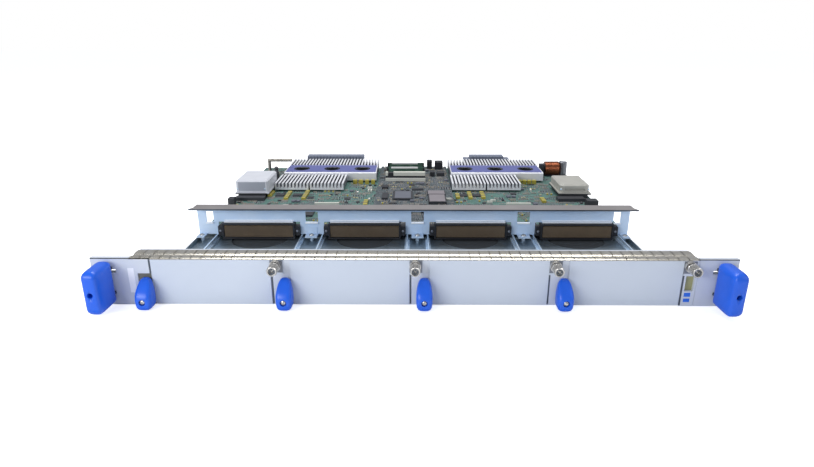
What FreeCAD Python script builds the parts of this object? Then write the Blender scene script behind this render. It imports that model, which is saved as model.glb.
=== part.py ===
"""Switch line card: a flat router card with four blanked module bays behind a wide faceplate.

Millimetres. X runs along the faceplate, +Y runs from the faceplate to the backplane connectors and
+Z is up from the tray. The origin is on the underside of the tray, front_offset behind the face.
Every piece is drawn with Y = 0 at the face, and its Placement moves it back by front_offset.
"""
import FreeCAD, Part
import os
import re
import Sketcher

SIZES = {
    # overall
    "front_offset": 265,        # tray origin behind the face
    "face_width": 625,
    "face_height": 49.5,
    "ear_width": 37.5,          # the face beyond the card at each end
    "card_width": "=face_width - 2 * ear_width",
    "sheet": 1.5,               # folded sheet steel
    "seat_gap": 0.3,            # between parts that lie beside each other
    "run_fit": 0.05,            # radial clearance of a turning shaft
    "slack": 1,                 # room left for a part that swings
    # front frame
    "frame_thickness": 3,
    "frame_flange_depth": 24,
    "bay_sill": 4,              # solid rim below and above a bay mouth
    "bay_jamb": 1.5,
    "bay_count": 4,
    "bay_margin": 5,
    "bay_divider": 19.5,        # strip between blanks for a lever and a thumbscrew
    "first_blank_inset": 20.5,
    "first_blank_x": "=first_blank_inset - card_width / 2",
    "bay_pitch": "=(card_width - 2 * bay_margin) / bay_count",
    "blank_width": "=bay_pitch - bay_divider",
    "last_blank_trim": 6,
    "blank_thickness": 1.5,
    "blank_edge": 0.8,
    "blank_lip_depth": 8,
    "blank_lip": 1.2,
    "tab_length": 12.5,
    "tab_height": 15,
    "tab_recess": 0.4,
    "notch_height": 33.4,
    "notch_width": 13,
    "window_width": 8.5,
    "window_height": 16,
    "window_sill": 16,
    "window_shift": 2.5,
    "score_width": 0.8,
    "score_depth": 0.6,
    "score_inset": 0.5,
    # finger gaskets on the frame's top flange
    "gasket_base": 0.4,
    "gasket_height": 1.5,
    "gasket_pitch": 10,
    "gasket_slit": 0.8,
    "gasket_front_depth": 9.5,
    "gasket_rear_depth": 15,
    "gasket_gap": 1.5,
    # captive thumbscrews
    "screw_offset": 5.6,
    "screw_drop": 7,            # below the top of the face
    "screw_head_radius": 5,
    "screw_head_length": 12,
    "screw_recess_radius": 3.4,
    "screw_recess_depth": 3,
    "knurl_groove": 0.5,
    "screw_shank_radius": 2,
    "screw_reach": 9.5,
    "screw_front": 17.5,
    "ferrule_radius": 5.5,
    "ferrule_length": 4,
    "ferrule_neck_radius": 4.3,
    "ferrule_bore_radius": 3.6,
    "ferrule_wall": 1,
    "ring_radius": 3.4,
    "ring_thickness": 0.8,
    "boss_radius": 4.5,
    "boss_length": 5.5,
    # turning module levers
    "lever_offset": 5,
    "lever_width": 14.6,
    "lever_height": 29,
    "lever_bottom": 1.2,
    "lever_depth": 18,
    "lever_tip_depth": 4.5,
    "lever_front_height": 13,
    "lever_shoulder": 9,        # height over which the lever's sides draw in at the tip
    "lever_tip_width": 8,
    "lever_round": 1.6,
    "lever_pivot_z": 10.5,
    "lever_hub_radius": 3.9,
    "lever_hub_length": 6.5,
    "lever_screw_radius": 1.5,
    "lever_screw_head_radius": 2.8,
    "lever_screw_head_length": 2,
    "lever_screw_sink": 1.2,
    "cam_length": 9,
    "cam_thickness": 2,
    "cam_width": 5,
    # ejector grips
    "grip_width": 15,
    "grip_x": "=face_width / 2 - grip_width",
    "grip_reach": 36,
    "grip_bottom": 3.5,
    "grip_height": 45,
    "grip_round": 3.5,
    "pivot_reach": 8,
    "pin_radius": 2,
    "pin_length": 13.5,
    "pin_end": 2.5,             # grip wall left above the upper and below the lower pin
    "lug_thickness": 2.5,
    "lug_width": 10.4,
    "lug_inset": 8.5,
    "lug_room": 0.3,
    "arm_thickness": 3,
    "arm_disc_radius": 5.4,
    "arm_tongue": 14,
    "arm_tongue_width": 7,
    "arm_neck_width": 3.2,
    "arm_length": 24,
    "arm_angle": 27.5,
    "hook_length": 8,
    "hook_width": 4,
    "grip_screw_radius": 1.8,
    "grip_screw_head_radius": 2.6,
    "grip_screw_head_length": 3.5,
    "grip_screw_head_y": 20,
    "grip_screw_z": 26,
    "bracket_width": 24,
    "bracket_thickness": 2,
    # tray, rails and bulkhead
    "tray_depth": 547,
    "tray_side_height": 6.5,
    "cutout_radius": 36,
    "cutout_y": 188,
    "rail_inset": 3.35,
    "rail_spread": "=blank_width / 2 - rail_inset",
    "rail_width": 3,
    "rail_height": 6,
    "wall_y": 190,
    "wall_top": 46,
    "wall_bottom": 7,
    "wall_flange_depth": 19,
    "wall_flange_spur": 4,
    "wall_window_width": 16,
    "wall_window_height": 14,
    "wall_window_sill": 23.5,
    "end_window_inset": 15.5,
    "end_window_x": "=card_width / 2 - end_window_inset",
    "end_window_width": 9,
    "wall_tab": 3,
    "wall_lip_depth": 4,
    "patch_width": 12,
    "patch_height": 9,
    "foot_width": 15,
    "end_foot_inset": 5.7,
    "end_foot_x": "=card_width / 2 - end_foot_inset",
    "end_foot_width": 9.6,
    "foot_depth": 15,
    "post_radius": 2.4,
    # module connectors
    "connector_margin": 5.75,
    "connector_ear": 6,
    "connector_width": "=blank_width - 2 * connector_margin",
    "connector_shell_width": "=connector_width - 2 * connector_ear",
    "connector_bottom": 3,
    "connector_height": 20.4,
    "connector_reach": 8,
    "connector_wall": 2,
    "wall_lip_width": "=connector_shell_width - 2 * connector_wall",
    "connector_mouth_depth": 7,
    "ear_height": 12,
    "tongue_height": 9,
    # main board
    "board_margin": 3,
    "board_width": "=card_width - 2 * board_margin",
    "board_front": 195.5,
    "board_bottom": 9.4,
    "board_thickness": 1.6,
    "standoff_radius": 3,
    "post_inset_x": 9,
    "post_inset_front": 30,
    "post_inset_back": 12,
    "standoff_columns": 4,
    "standoff_rows": 3,
    # heat sinks
    "sink_width": 53.4,
    "sink_depth": 58.5,
    "sink_y": 381.5,
    "sink_top": 24.5,
    "sink_base": 2.5,
    "sink_pair_left": -164.6,
    "sink_pair_right": 116.9,
    "sink_pair_spacing": 55.8,
    "fin_count": 10,
    "fin_thickness": 2.8,
    "chip_height": 3,
    "chip_width": 40,
    "big_sink_width": 155,
    "big_sink_y": 441.5,
    "big_sink_flat": 54,
    "big_sink_depth": 99.5,
    "big_sink_left": -138.5,
    "big_sink_right": 141.5,
    "big_sink_top": 28,
    "big_sink_base": 4,
    "big_fin_count": 29,
    "big_fin_thickness": 2.8,
    "big_fin_top": 29.5,
    "big_sink_bevel": 1.5,
    "sink_hole_count": 3,
    "sink_hole_radius": 11,
    "sink_hole_spacing": 52,
    # mezzanine board
    "mezzanine_left": -57,
    "mezzanine_width": 118.5,
    "mezzanine_rise": 3,
    "mezzanine_depth": 345,
    # power modules
    "brick_width": 49,
    "brick_depth": 66,
    "brick_y": 344,
    "brick_inset": 0.5,
    "brick_x": "=(board_width - brick_width) / 2 - brick_inset",
    "brick_rise": 6,
    "brick_height_left": 18,
    "brick_height_right": 15,
    "brick_chamfer": 5,
    "brick_flange": 2,
    "brick_flange_height": 3,
    "brick_slot_width": 30,
    "brick_slot_height": 3,
    "brick_slot_depth": 2,
    # backplane connectors
    "plug_overlap": 1,
    "plug_y": "=tray_depth - plug_overlap",
    "plug_depth": 20,
    "plug_top": 33,
    "plug_left_x": -142,
    "plug_left_width": 104,
    "plug_right_x": 136,
    "plug_right_width": 62,
    "plug_shoulder": 11,
    "plug_shoulder_drop": 5,
    "wafer_pitch": 6,
    "wafer_slit": 1.2,
    "wafer_slit_depth": 1.5,
    # small parts on the boards
    "capacitor_width": 6,
    "capacitor_height": 3.4,
    "memory_x": -12,
    "socket_length": 66,
    "socket_width": 9,
    "socket_height": 5,
    "memory_length": 60,
    "memory_width": 19,
    "memory_thickness": 2.4,
    "header_y": 308,
    "header_length": 36,
    "header_width": 4,
    "header_height": 3,
    "coil_radius": 12,
    "coil_length": 24,
    "coil_core": 6,
    "coil_inset": 28,
    "coil_x": "=board_width / 2 - coil_inset",
    "coil_y": 495,
    "can_radius": 7,
    "can_height": 24,
    "can_inset": 8,
    "rod_radius": 2,
    "rod_height": 30,
    "rod_inset": 25,
    "rod_x": "=rod_inset - board_width / 2",
    "rod_y": 478,
    "rod_run": 38,
}
CELLS = {alias: f"B{row}" for row, alias in enumerate(SIZES, start=1)}

doc = FreeCAD.newDocument("switch_line_card")
sheet = doc.addObject("Spreadsheet::Sheet", "Sizes")
for alias, cell in CELLS.items():
    sheet.set(cell.replace("B", "A"), alias)
    sheet.set(cell, str(SIZES[alias]))
    sheet.setAlias(cell, alias)
doc.recompute()

nodes = {}
origin = FreeCAD.Vector(0, 0, 0)
AXES = {"X": FreeCAD.Vector(1, 0, 0), "Y": FreeCAD.Vector(0, 1, 0), "Z": FreeCAD.Vector(0, 0, 1)}
SPINS = {
    "X": FreeCAD.Rotation(AXES["Y"], 90),
    "Y": FreeCAD.Rotation(AXES["X"], -90),
    "Z": FreeCAD.Rotation(),
}


# ---------------------------------------------------------------- shared helpers
def expr(text):
    """Turn 'card_width / 2' into an expression on the sheet's cells."""
    return re.sub(r"[a-z_]+", lambda word: "Sizes." + word[0] if word[0] in SIZES else word[0], str(text))


def size(alias):
    """The sheet's present value of one size."""
    return float(sheet.get(alias))


def bind(item, **texts):
    """Bind properties, written with __ for a dot, to texts in the sheet's words."""
    for name, text in texts.items():
        item.setExpression(name.replace("__", "."), expr(text))
    return item


def place(item, x, y, z):
    return bind(item, Placement__Base__x=x, Placement__Base__y=y, Placement__Base__z=z)


def box(name, x, y, z, length, width, height):
    """A block from its low corner."""
    piece = doc.addObject("Part::Box", name)
    bind(piece, Length=length, Width=width, Height=height)
    return place(piece, x, y, z)


def slab(name, middle, y, z, length, width, height):
    """A block centred on X = middle."""
    return box(name, f"({middle}) - ({length}) / 2", y, z, length, width, height)


def rod(name, axis, x, y, z, radius, length):
    """A cylinder along an axis from its first end."""
    piece = doc.addObject("Part::Cylinder", name)
    piece.Placement = FreeCAD.Placement(origin, SPINS[axis])
    bind(piece, Radius=radius, Height=length)
    return place(piece, x, y, z)


def fuse(name, *pieces):
    piece = doc.addObject("Part::MultiFuse", name)
    piece.Shapes = list(pieces)
    piece.Refine = True
    return piece


def cut(name, base, *tools):
    piece = doc.addObject("Part::Cut", name)
    piece.Base = base
    piece.Tool = tools[0] if len(tools) == 1 else fuse(name + "_tools", *tools)
    return piece


def group(name, pieces):
    piece = doc.addObject("Part::Compound", name)
    piece.Links = list(pieces)
    return piece


def keep(node, piece):
    """Name a finished sub-part and move it from the face to the tray's origin."""
    piece.Label = node
    bind(piece, Placement__Base__y="-front_offset")
    nodes[node] = piece
    return piece


def origin_plane(body, role):
    return next(item for item in body.Origin.OriginFeatures if item.Role == role)


def sketch(body, name, plane, offset):
    """An empty sketch on the plane across an axis; on XZ the sketch faces -Y."""
    drawing = body.newObject("Sketcher::SketchObject", name)
    drawing.AttachmentSupport = [(origin_plane(body, plane + "_Plane"), "")]
    drawing.MapMode = "FlatFace"
    return bind(drawing, AttachmentOffset__Base__z=f"-({offset})" if plane == "XZ" else offset)


def loop(drawing, points):
    """A closed outline whose corners are bound to the sheet."""
    doc.recompute()
    first = drawing.GeometryCount
    spots = [tuple(doc_value(text) for text in point) for point in points]
    for here, there in zip(spots, spots[1:] + spots[:1]):
        line = Part.LineSegment(FreeCAD.Vector(*here, 0), FreeCAD.Vector(*there, 0))
        drawing.addGeometry(line, False)
    for index, point in enumerate(points):
        following = first + (index + 1) % len(points)
        drawing.addConstraint(Sketcher.Constraint("Coincident", first + index, 2, following, 1))
        for kind, spot, text in zip(("DistanceX", "DistanceY"), spots[index], point):
            row = drawing.addConstraint(Sketcher.Constraint(kind, -1, 1, first + index, 1, spot))
            drawing.setExpression(f"Constraints[{row}]", expr(text))
    return drawing


def circle(drawing, x, y, radius):
    """A circle whose centre and radius are bound to the sheet."""
    spot = FreeCAD.Vector(doc_value(x), doc_value(y), 0)
    ring = drawing.addGeometry(Part.Circle(spot, AXES["Z"], doc_value(radius)), False)
    for constraint, text in (
        (Sketcher.Constraint("DistanceX", -1, 1, ring, 3, spot.x), x),
        (Sketcher.Constraint("DistanceY", -1, 1, ring, 3, spot.y), y),
        (Sketcher.Constraint("Radius", ring, doc_value(radius)), radius),
    ):
        drawing.setExpression(f"Constraints[{drawing.addConstraint(constraint)}]", expr(text))
    return drawing


def doc_value(text):
    """Work out a text in the sheet's words now, for a sketch's first geometry."""
    return float(sheet.evalExpression(expr(text)))


def pad(body, drawing, length, back=False, both=False):
    piece = body.newObject("PartDesign::Pad", drawing.Name + "_pad")
    piece.Profile = drawing
    piece.Reversed = back
    piece.Midplane = both
    bind(piece, Length=length)
    body.Tip = piece
    return piece


def pocket(body, drawing, depth=None, back=False):
    """A pocket of a depth, or through everything on both sides."""
    piece = body.newObject("PartDesign::Pocket", drawing.Name + "_pocket")
    piece.Profile = drawing
    piece.Reversed = back
    if depth is None:
        piece.Type = "ThroughAll"
        piece.Midplane = True
    else:
        bind(piece, Length=depth)
    body.Tip = piece
    return piece


def repeat(body, feature, axis, count, span):
    """A row of a feature along an origin axis, over a whole span."""
    piece = body.newObject("PartDesign::LinearPattern", feature.Name + "_row")
    piece.Originals = [feature]
    piece.Direction = (origin_plane(body, axis + "_Axis"), [""])
    piece.Occurrences = int(count)
    bind(piece, Length=span)
    body.Tip = piece
    return piece


def round_edges(body, radius, chosen, kind="Fillet"):
    """Fillet or chamfer those edges of the body's tip that chosen(edge) picks."""
    doc.recompute()
    before = body.Tip
    names = [f"Edge{index}" for index, edge in enumerate(before.Shape.Edges, start=1) if chosen(edge)]
    piece = body.newObject("PartDesign::" + kind, f"{body.Name}_{kind.lower()}_{len(body.Group)}")
    piece.Base = (before, names)
    bind(piece, **{"Radius" if kind == "Fillet" else "Size": radius})
    body.Tip = piece
    return piece


def new_body(name):
    return doc.addObject("PartDesign::Body", name)


def along(edge, axis):
    """True for a straight edge parallel to an axis."""
    if not isinstance(edge.Curve, Part.Line):
        return False
    return abs(abs(edge.Curve.Direction.dot(AXES[axis])) - 1) < 1e-6


# ---------------------------------------------------------------- places along the face
BAYS = range(SIZES["bay_count"])


def blank_left(bay):
    return f"(first_blank_x + {bay} * bay_pitch)"


def blank_size(bay):
    return "(blank_width - last_blank_trim)" if bay == BAYS[-1] else "blank_width"


def blank_right(bay):
    return f"({blank_left(bay)} + {blank_size(bay)})"


def bay_middle(bay):
    return f"({blank_left(bay)} + blank_width / 2)"


def screw_x(bay):
    return f"({blank_right(bay)} + screw_offset)"


def lever_x(bay):
    return f"({blank_left(bay)} - lever_offset)"


SCREW_Z = "(face_height - screw_drop)"
FRAME_BACK = "(blank_thickness + frame_thickness)"
FRAME_TOP = "(face_height - gasket_height)"
FLANGE_BOTTOM = f"({FRAME_TOP} - sheet)"
BLANK_TOP = f"({FRAME_TOP} - seat_gap)"
BOARD_TOP = "(board_bottom + board_thickness)"
BOARD_BACK = "tray_depth"
MEZZANINE_BOTTOM = f"({BOARD_TOP} + mezzanine_rise)"
MEZZANINE_TOP = f"({MEZZANINE_BOTTOM} + board_thickness)"
SIDES = {"left": -1, "right": 1}
UPPER_LUG_Z = "(grip_bottom + grip_height - lug_inset - lug_thickness)"
LOWER_LUG_Z = "(grip_bottom + lug_inset)"
ARM_Z = f"({UPPER_LUG_Z} - lug_room - arm_thickness)"


# ---------------------------------------------------------------- front frame and what it carries
def make_front_frame():
    """The machined frame: ears, bay mouths, bosses for the screws and a flange for the gaskets."""
    plate = slab("frame_plate", 0, "blank_thickness", 0, "face_width", "frame_thickness", "face_height")
    left_end = f"{blank_left(0)} - blank_edge"
    left_ear = box("left_ear", "-face_width / 2", 0, 0,
                   f"{left_end} + face_width / 2", "blank_thickness", "face_height")
    right_start = f"{blank_right(BAYS[-1])} + blank_edge"
    right_ear = box("right_ear", right_start, 0, 0,
                    f"face_width / 2 - ({right_start})", "blank_thickness", "face_height")
    flange = slab("frame_flange", 0, FRAME_BACK, FLANGE_BOTTOM, "card_width", "frame_flange_depth", "sheet")
    solids = [plate, left_ear, right_ear, flange]
    cuts = [
        slab("gasket_step", 0, 0, FRAME_TOP, "card_width", FRAME_BACK, "gasket_height"),
        box("lever_notch", f"{left_end} - notch_width", 0, 0,
            "notch_width + blank_edge", "blank_thickness", "notch_height"),
        slab("window", f"{screw_x(BAYS[-1])} + window_shift", 0, "window_sill",
             "window_width", FRAME_BACK, "window_height"),
        slab("score", "card_width / 2 - score_inset", 0, 0, "score_width", "score_depth", "face_height"),
    ]
    for bay in BAYS:
        solids.append(rod(f"boss_{bay}", "Y", screw_x(bay), FRAME_BACK, SCREW_Z,
                          "boss_radius", "boss_length"))
        cuts += [
            box(f"mouth_{bay}", f"{blank_left(bay)} + bay_jamb", "blank_thickness", "bay_sill",
                f"{blank_size(bay)} - 2 * bay_jamb", "frame_thickness", "face_height - 2 * bay_sill"),
            rod(f"thread_{bay}", "Y", screw_x(bay), 0, SCREW_Z,
                "screw_shank_radius + run_fit", f"{FRAME_BACK} + boss_length"),
            rod(f"ferrule_hole_{bay}", "Y", screw_x(bay), 0, SCREW_Z,
                "ferrule_neck_radius", FRAME_BACK),
            rod(f"hub_hole_{bay}", "Y", lever_x(bay), 0, "lever_pivot_z",
                "lever_hub_radius + run_fit", FRAME_BACK),
        ]
    # the last ferrule sits in the ear itself, so its flange gets a flat recess
    cuts.append(rod("ear_recess", "Y", screw_x(BAYS[-1]), 0, SCREW_Z,
                    "ferrule_radius + seat_gap", "tab_recess"))
    for side, sign in SIDES.items():
        x = f"{sign} * grip_x"
        cuts += [
            slab(f"{side}_upper_lug_hole", x, 0, f"{UPPER_LUG_Z} - lug_room",
                 "lug_width + 2 * lug_room", FRAME_BACK, "lug_thickness + 2 * lug_room"),
            slab(f"{side}_lower_lug_hole", x, 0, f"{LOWER_LUG_Z} - lug_room",
                 "lug_width + 2 * lug_room", FRAME_BACK, "lug_thickness + 2 * lug_room"),
            slab(f"{side}_arm_slot", x, 0, f"{ARM_Z} - lug_room",
                 "grip_width + 2 * slack", FRAME_BACK, "arm_thickness + 2 * lug_room"),
            rod(f"{side}_grip_thread", "Y", x, 0, "grip_screw_z", "grip_screw_radius", FRAME_BACK),
        ]
    keep("front_frame", cut("frame", fuse("frame_solid", *solids), *cuts))


def make_gasket_strips():
    """Two rows of spring fingers, slit at each pitch and held by a thin base strip."""
    strips = []
    rows = {
        "front": (0, "gasket_front_depth"),
        "rear": ("gasket_front_depth + gasket_gap", "gasket_rear_depth"),
    }
    for row, (start, depth) in rows.items():
        body = new_body(f"gasket_{row}")
        bottom = FRAME_TOP
        outline = sketch(body, f"{row}_arch", "YZ", "-card_width / 2")
        arch = [
            (start, bottom),
            (f"{start} + {depth}", bottom),
            (f"{start} + {depth}", f"{bottom} + gasket_base"),
            (f"{start} + 0.75 * {depth}", "face_height"),
            (f"{start} + 0.3 * {depth}", "face_height"),
            (start, f"{bottom} + gasket_base"),
        ]
        pad(body, loop(outline, arch), "card_width")
        slit = sketch(body, f"{row}_slit", "XY", "face_height")
        edge = "gasket_pitch - card_width / 2"
        notch = pocket(body, loop(slit, [
            (f"{edge} - gasket_slit", start),
            (edge, start),
            (edge, f"{start} + {depth}"),
            (f"{edge} - gasket_slit", f"{start} + {depth}"),
        ]), "gasket_height - gasket_base")
        count = int(size("card_width") / size("gasket_pitch")) - 1
        repeat(body, notch, "X", count, f"{count - 1} * gasket_pitch")
        strips.append(body)
    # the front row lies on the frame's top edge, the rear row on its flange
    keep("gasket_strips", group("gaskets", strips))


def make_blank_panel(bay):
    """A pressed cover with a lip that enters the bay mouth and a tab under the thumbscrew."""
    body = new_body(f"blank_{bay + 1}")
    left, right = blank_left(bay), blank_right(bay)
    top = BLANK_TOP
    face = sketch(body, f"blank_face_{bay}", "XZ", 0)
    pad(body, loop(face, [(left, "blank_edge"), (right, "blank_edge"), (right, top), (left, top)]),
        "blank_thickness", back=True)
    lip = sketch(body, f"blank_lip_{bay}", "XZ", "blank_thickness")
    for inset in ("bay_jamb + seat_gap", "bay_jamb + seat_gap + blank_lip"):
        rise = f"bay_sill - bay_jamb + {inset}"
        loop(lip, [
            (f"{left} + {inset}", rise),
            (f"{right} - ({inset})", rise),
            (f"{right} - ({inset})", f"face_height - ({rise})"),
            (f"{left} + {inset}", f"face_height - ({rise})"),
        ])
    pad(body, lip, "blank_lip_depth", back=True)
    if bay != BAYS[-1]:
        tab = sketch(body, f"blank_tab_{bay}", "XZ", "tab_recess")
        low = f"{top} - tab_height"
        tip = f"{right} + tab_length"
        loop(tab, [(right, low), (tip, low), (tip, top), (right, top)])
        circle(tab, screw_x(bay), SCREW_Z, "ferrule_neck_radius")
        pad(body, tab, "blank_thickness - tab_recess", back=True)
    keep(f"blank_panel_{bay + 1}", body)


# ---------------------------------------------------------------- captive thumbscrews
def turned(body, name, x, z, points):
    """A turned piece: an outline of (radius, y) points spun about the Y line through x, z."""
    drawing = sketch(body, name, "XY", z)
    loop(drawing, [(f"{x} + {radius}", y) for radius, y in points])
    spot = doc_value(x)
    ends = FreeCAD.Vector(spot, 0, 0), FreeCAD.Vector(spot, 1, 0)
    axis = drawing.addGeometry(Part.LineSegment(*ends), True)
    drawing.addConstraint(Sketcher.Constraint("Vertical", axis))
    row = drawing.addConstraint(Sketcher.Constraint("DistanceX", -1, 1, axis, 1, spot))
    drawing.setExpression(f"Constraints[{row}]", expr(x))
    piece = body.newObject("PartDesign::Revolution", name + "_turn")
    piece.Profile = drawing
    piece.ReferenceAxis = (drawing, ["Axis0"])
    piece.Angle = 360
    body.Tip = piece
    return piece


def make_ferrules():
    """The pressed ferrules that hold the thumbscrews in the blanks and in the right ear."""
    ferrules = []
    for bay in BAYS:
        body = new_body(f"ferrule_{bay + 1}")
        inner = "screw_shank_radius + seat_gap"
        cavity = "(ferrule_wall - ferrule_length)"
        turned(body, f"ferrule_outline_{bay}", screw_x(bay), SCREW_Z, [
            (inner, "-ferrule_length"),
            ("ferrule_radius", "-ferrule_length"),
            ("ferrule_radius", "tab_recess"),
            ("ferrule_neck_radius", "tab_recess"),
            ("ferrule_neck_radius", FRAME_BACK),
            ("ferrule_bore_radius", FRAME_BACK),
            ("ferrule_bore_radius", cavity),
            (inner, cavity),
        ])
        ferrules.append(body)
    keep("screw_ferrules", group("ferrules", ferrules))


def make_thumbscrew(bay):
    """A knurled head with a cross recess on a plain shank."""
    body = new_body(f"thumb_{bay + 1}")
    front = "-screw_front"
    back = "(screw_head_length - screw_front)"
    turned(body, f"thumb_outline_{bay}", screw_x(bay), SCREW_Z, [
        (0, f"{front} + screw_recess_depth"),
        ("screw_recess_radius", f"{front} + screw_recess_depth"),
        ("screw_recess_radius", front),
        ("screw_head_radius - knurl_groove", front),
        ("screw_head_radius", f"{front} + knurl_groove"),
        ("screw_head_radius", f"{back} - knurl_groove"),
        ("screw_head_radius - knurl_groove", back),
        ("screw_shank_radius", back),
        ("screw_shank_radius", "screw_reach"),
        (0, "screw_reach"),
    ])
    keep(f"thumbscrew_{bay + 1}", body)


def make_retaining_ring(bay):
    """The snap ring on the shank, which travels inside the ferrule."""
    body = new_body(f"ring_{bay + 1}")
    back = f"({FRAME_BACK} - ring_thickness)"
    turned(body, f"ring_outline_{bay}", screw_x(bay), SCREW_Z, [
        ("screw_shank_radius + run_fit", f"{back} - ring_thickness"),
        ("ring_radius", f"{back} - ring_thickness"),
        ("ring_radius", back),
        ("screw_shank_radius + run_fit", back),
    ])
    keep(f"retaining_ring_{bay + 1}", body)


# ---------------------------------------------------------------- module levers
def make_module_lever(bay):
    """A moulded lever that turns on a hub in the frame and carries a cam behind it."""
    x = lever_x(bay)
    top = "(lever_bottom + lever_height)"
    front = "-(lever_depth + slack)"
    body = new_body(f"lever_{bay + 1}")
    side = sketch(body, f"lever_side_{bay}", "YZ", f"{x} - lever_width / 2")
    pad(body, loop(side, [
        ("-slack", "lever_bottom + lever_round"),
        ("-slack", top),
        ("-lever_tip_depth", top),
        (front, "lever_bottom + lever_front_height"),
        (front, "lever_bottom + lever_round * 3"),
        (f"{front} + lever_round * 3", "lever_bottom"),
        ("-slack - lever_round", "lever_bottom"),
    ]), "lever_width")
    waist = sketch(body, f"lever_front_{bay}", "XZ", front)
    room = "(lever_width / 2 + slack)"
    low = "lever_bottom + lever_round * 2.5"
    shoulder = f"{top} - lever_shoulder"
    for sign in (-1, 1):
        loop(waist, [
            (f"{x} + {sign} * lever_width / 2", shoulder),
            (f"{x} + {sign} * lever_tip_width / 2", top),
            (f"{x} + {sign} * lever_tip_width / 2", f"{top} + slack"),
            (f"{x} + {sign} * {room}", f"{top} + slack"),
            (f"{x} + {sign} * {room}", shoulder),
        ])
        loop(waist, [
            (f"{x} + {sign} * lever_width / 2", low),
            (f"{x} + {sign} * (lever_width / 2 - lever_round * 2)", "lever_bottom"),
            (f"{x} + {sign} * (lever_width / 2 - lever_round * 2)", "lever_bottom - slack"),
            (f"{x} + {sign} * {room}", "lever_bottom - slack"),
            (f"{x} + {sign} * {room}", low),
        ])
    pocket(body, waist)
    limit = -size("slack") - 0.01
    round_edges(body, "lever_round", lambda edge: edge.BoundBox.YMax < limit)
    hub = sketch(body, f"lever_hub_{bay}", "XZ", "-slack")
    circle(hub, x, "lever_pivot_z", "lever_hub_radius")
    pad(body, hub, "slack + lever_hub_length", back=True)
    cam = sketch(body, f"lever_cam_{bay}", "XZ", f"{FRAME_BACK} + seat_gap")
    pad(body, loop(cam, [
        (f"{x} - cam_width / 2", "lever_pivot_z"),
        (f"{x} + cam_width / 2", "lever_pivot_z"),
        (f"{x} + cam_width / 2", "lever_pivot_z + cam_length"),
        (f"{x} - cam_width / 2", "lever_pivot_z + cam_length"),
    ]), "cam_thickness", back=True)
    bore = sketch(body, f"lever_bore_{bay}", "XZ", front)
    circle(bore, x, "lever_pivot_z", "lever_screw_radius + run_fit")
    pocket(body, bore)
    seat = sketch(body, f"lever_seat_{bay}", "XZ", front)
    circle(seat, x, "lever_pivot_z", "lever_screw_head_radius + seat_gap")
    pocket(body, seat, "lever_screw_sink + lever_round")
    keep(f"module_lever_{bay + 1}", body)


def make_lever_screws():
    """Shoulder screws on which the levers turn, each with a keeper nut behind its hub."""
    screws = []
    for bay in BAYS:
        x = lever_x(bay)
        head_y = "(lever_screw_sink + lever_round - slack - lever_depth - lever_screw_head_length)"
        head = rod(f"lever_screw_head_{bay}", "Y", x, f"{head_y} - seat_gap", "lever_pivot_z",
                   "lever_screw_head_radius", "lever_screw_head_length")
        shank_end = "(lever_hub_length + seat_gap)"
        shank = rod(f"lever_screw_shank_{bay}", "Y", x, head_y, "lever_pivot_z",
                    "lever_screw_radius", f"{shank_end} + sheet - {head_y}")
        nut = rod(f"lever_nut_{bay}", "Y", x, shank_end, "lever_pivot_z", "lever_screw_head_radius", "sheet")
        screws.append(fuse(f"lever_screw_{bay}", head, shank, nut))
    keep("lever_screws", group("lever_screw_set", screws))


# ---------------------------------------------------------------- ejectors
def make_ejector_grip(side, sign):
    """A moulded grip whose back turns on two pins, hollowed for the lugs, the arm and a screw."""
    x = f"{sign} * grip_x"
    back = "-pivot_reach"
    body = new_body(f"{side}_grip")
    bar = sketch(body, f"{side}_grip_bar", "XY", "grip_bottom")
    edges = (f"{x} - grip_width / 2", f"{x} + grip_width / 2")
    corners = [(edges[0], "-grip_reach"), (edges[1], "-grip_reach"), (edges[1], back), (edges[0], back)]
    pad(body, loop(bar, corners), "grip_height")
    barrel = sketch(body, f"{side}_grip_barrel", "XY", "grip_bottom")
    circle(barrel, x, back, "grip_width / 2")
    pad(body, barrel, "grip_height")
    front = -size("grip_reach")
    round_edges(body, "grip_round * 1.2",
                lambda edge: along(edge, "Z") and abs(edge.BoundBox.YMin - front) < 0.01)
    round_edges(body, "grip_round", lambda edge: edge.BoundBox.ZLength < 0.01)
    lug_slot = "lug_thickness + 2 * lug_room"
    rows = {
        "upper_lug": (f"{UPPER_LUG_Z} - lug_room", lug_slot, "arm_disc_radius + 2 * lug_room"),
        "lower_lug": (f"{LOWER_LUG_Z} - lug_room", lug_slot, "arm_disc_radius + 2 * lug_room"),
        "arm": (ARM_Z, "arm_thickness", "arm_tongue + lug_room"),
    }
    for name, (z, thickness, reach) in rows.items():
        slot = sketch(body, f"{side}_{name}_slot", "XY", z)
        inner = f"{x} - {sign} * (arm_disc_radius + lug_room)"
        outer = f"{x} + {sign} * grip_width"
        loop(slot, [
            (inner, f"{back} - ({reach})"),
            (outer, f"{back} - ({reach})"),
            (outer, f"{back} + grip_width"),
            (inner, f"{back} + grip_width"),
        ])
        pocket(body, slot, thickness, back=True)
    low = "(grip_bottom + pin_end)"
    for name, z in (("lower", low), ("upper", "(grip_bottom + grip_height - pin_end - pin_length)")):
        bore = sketch(body, f"{side}_{name}_pin_bore", "XY", z)
        circle(bore, x, back, "pin_radius + run_fit")
        pocket(body, bore, "pin_length", back=True)
    access = sketch(body, f"{side}_screw_access", "XZ", "-grip_reach")
    circle(access, x, "grip_screw_z", "grip_screw_head_radius")
    pocket(body, access, "grip_reach - grip_screw_head_y + grip_screw_head_length")
    shank = sketch(body, f"{side}_screw_bore", "XZ", "-grip_reach")
    circle(shank, x, "grip_screw_z", "grip_screw_radius")
    pocket(body, shank, "2 * grip_reach")
    keep(f"{side}_ejector_grip", body)


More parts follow.
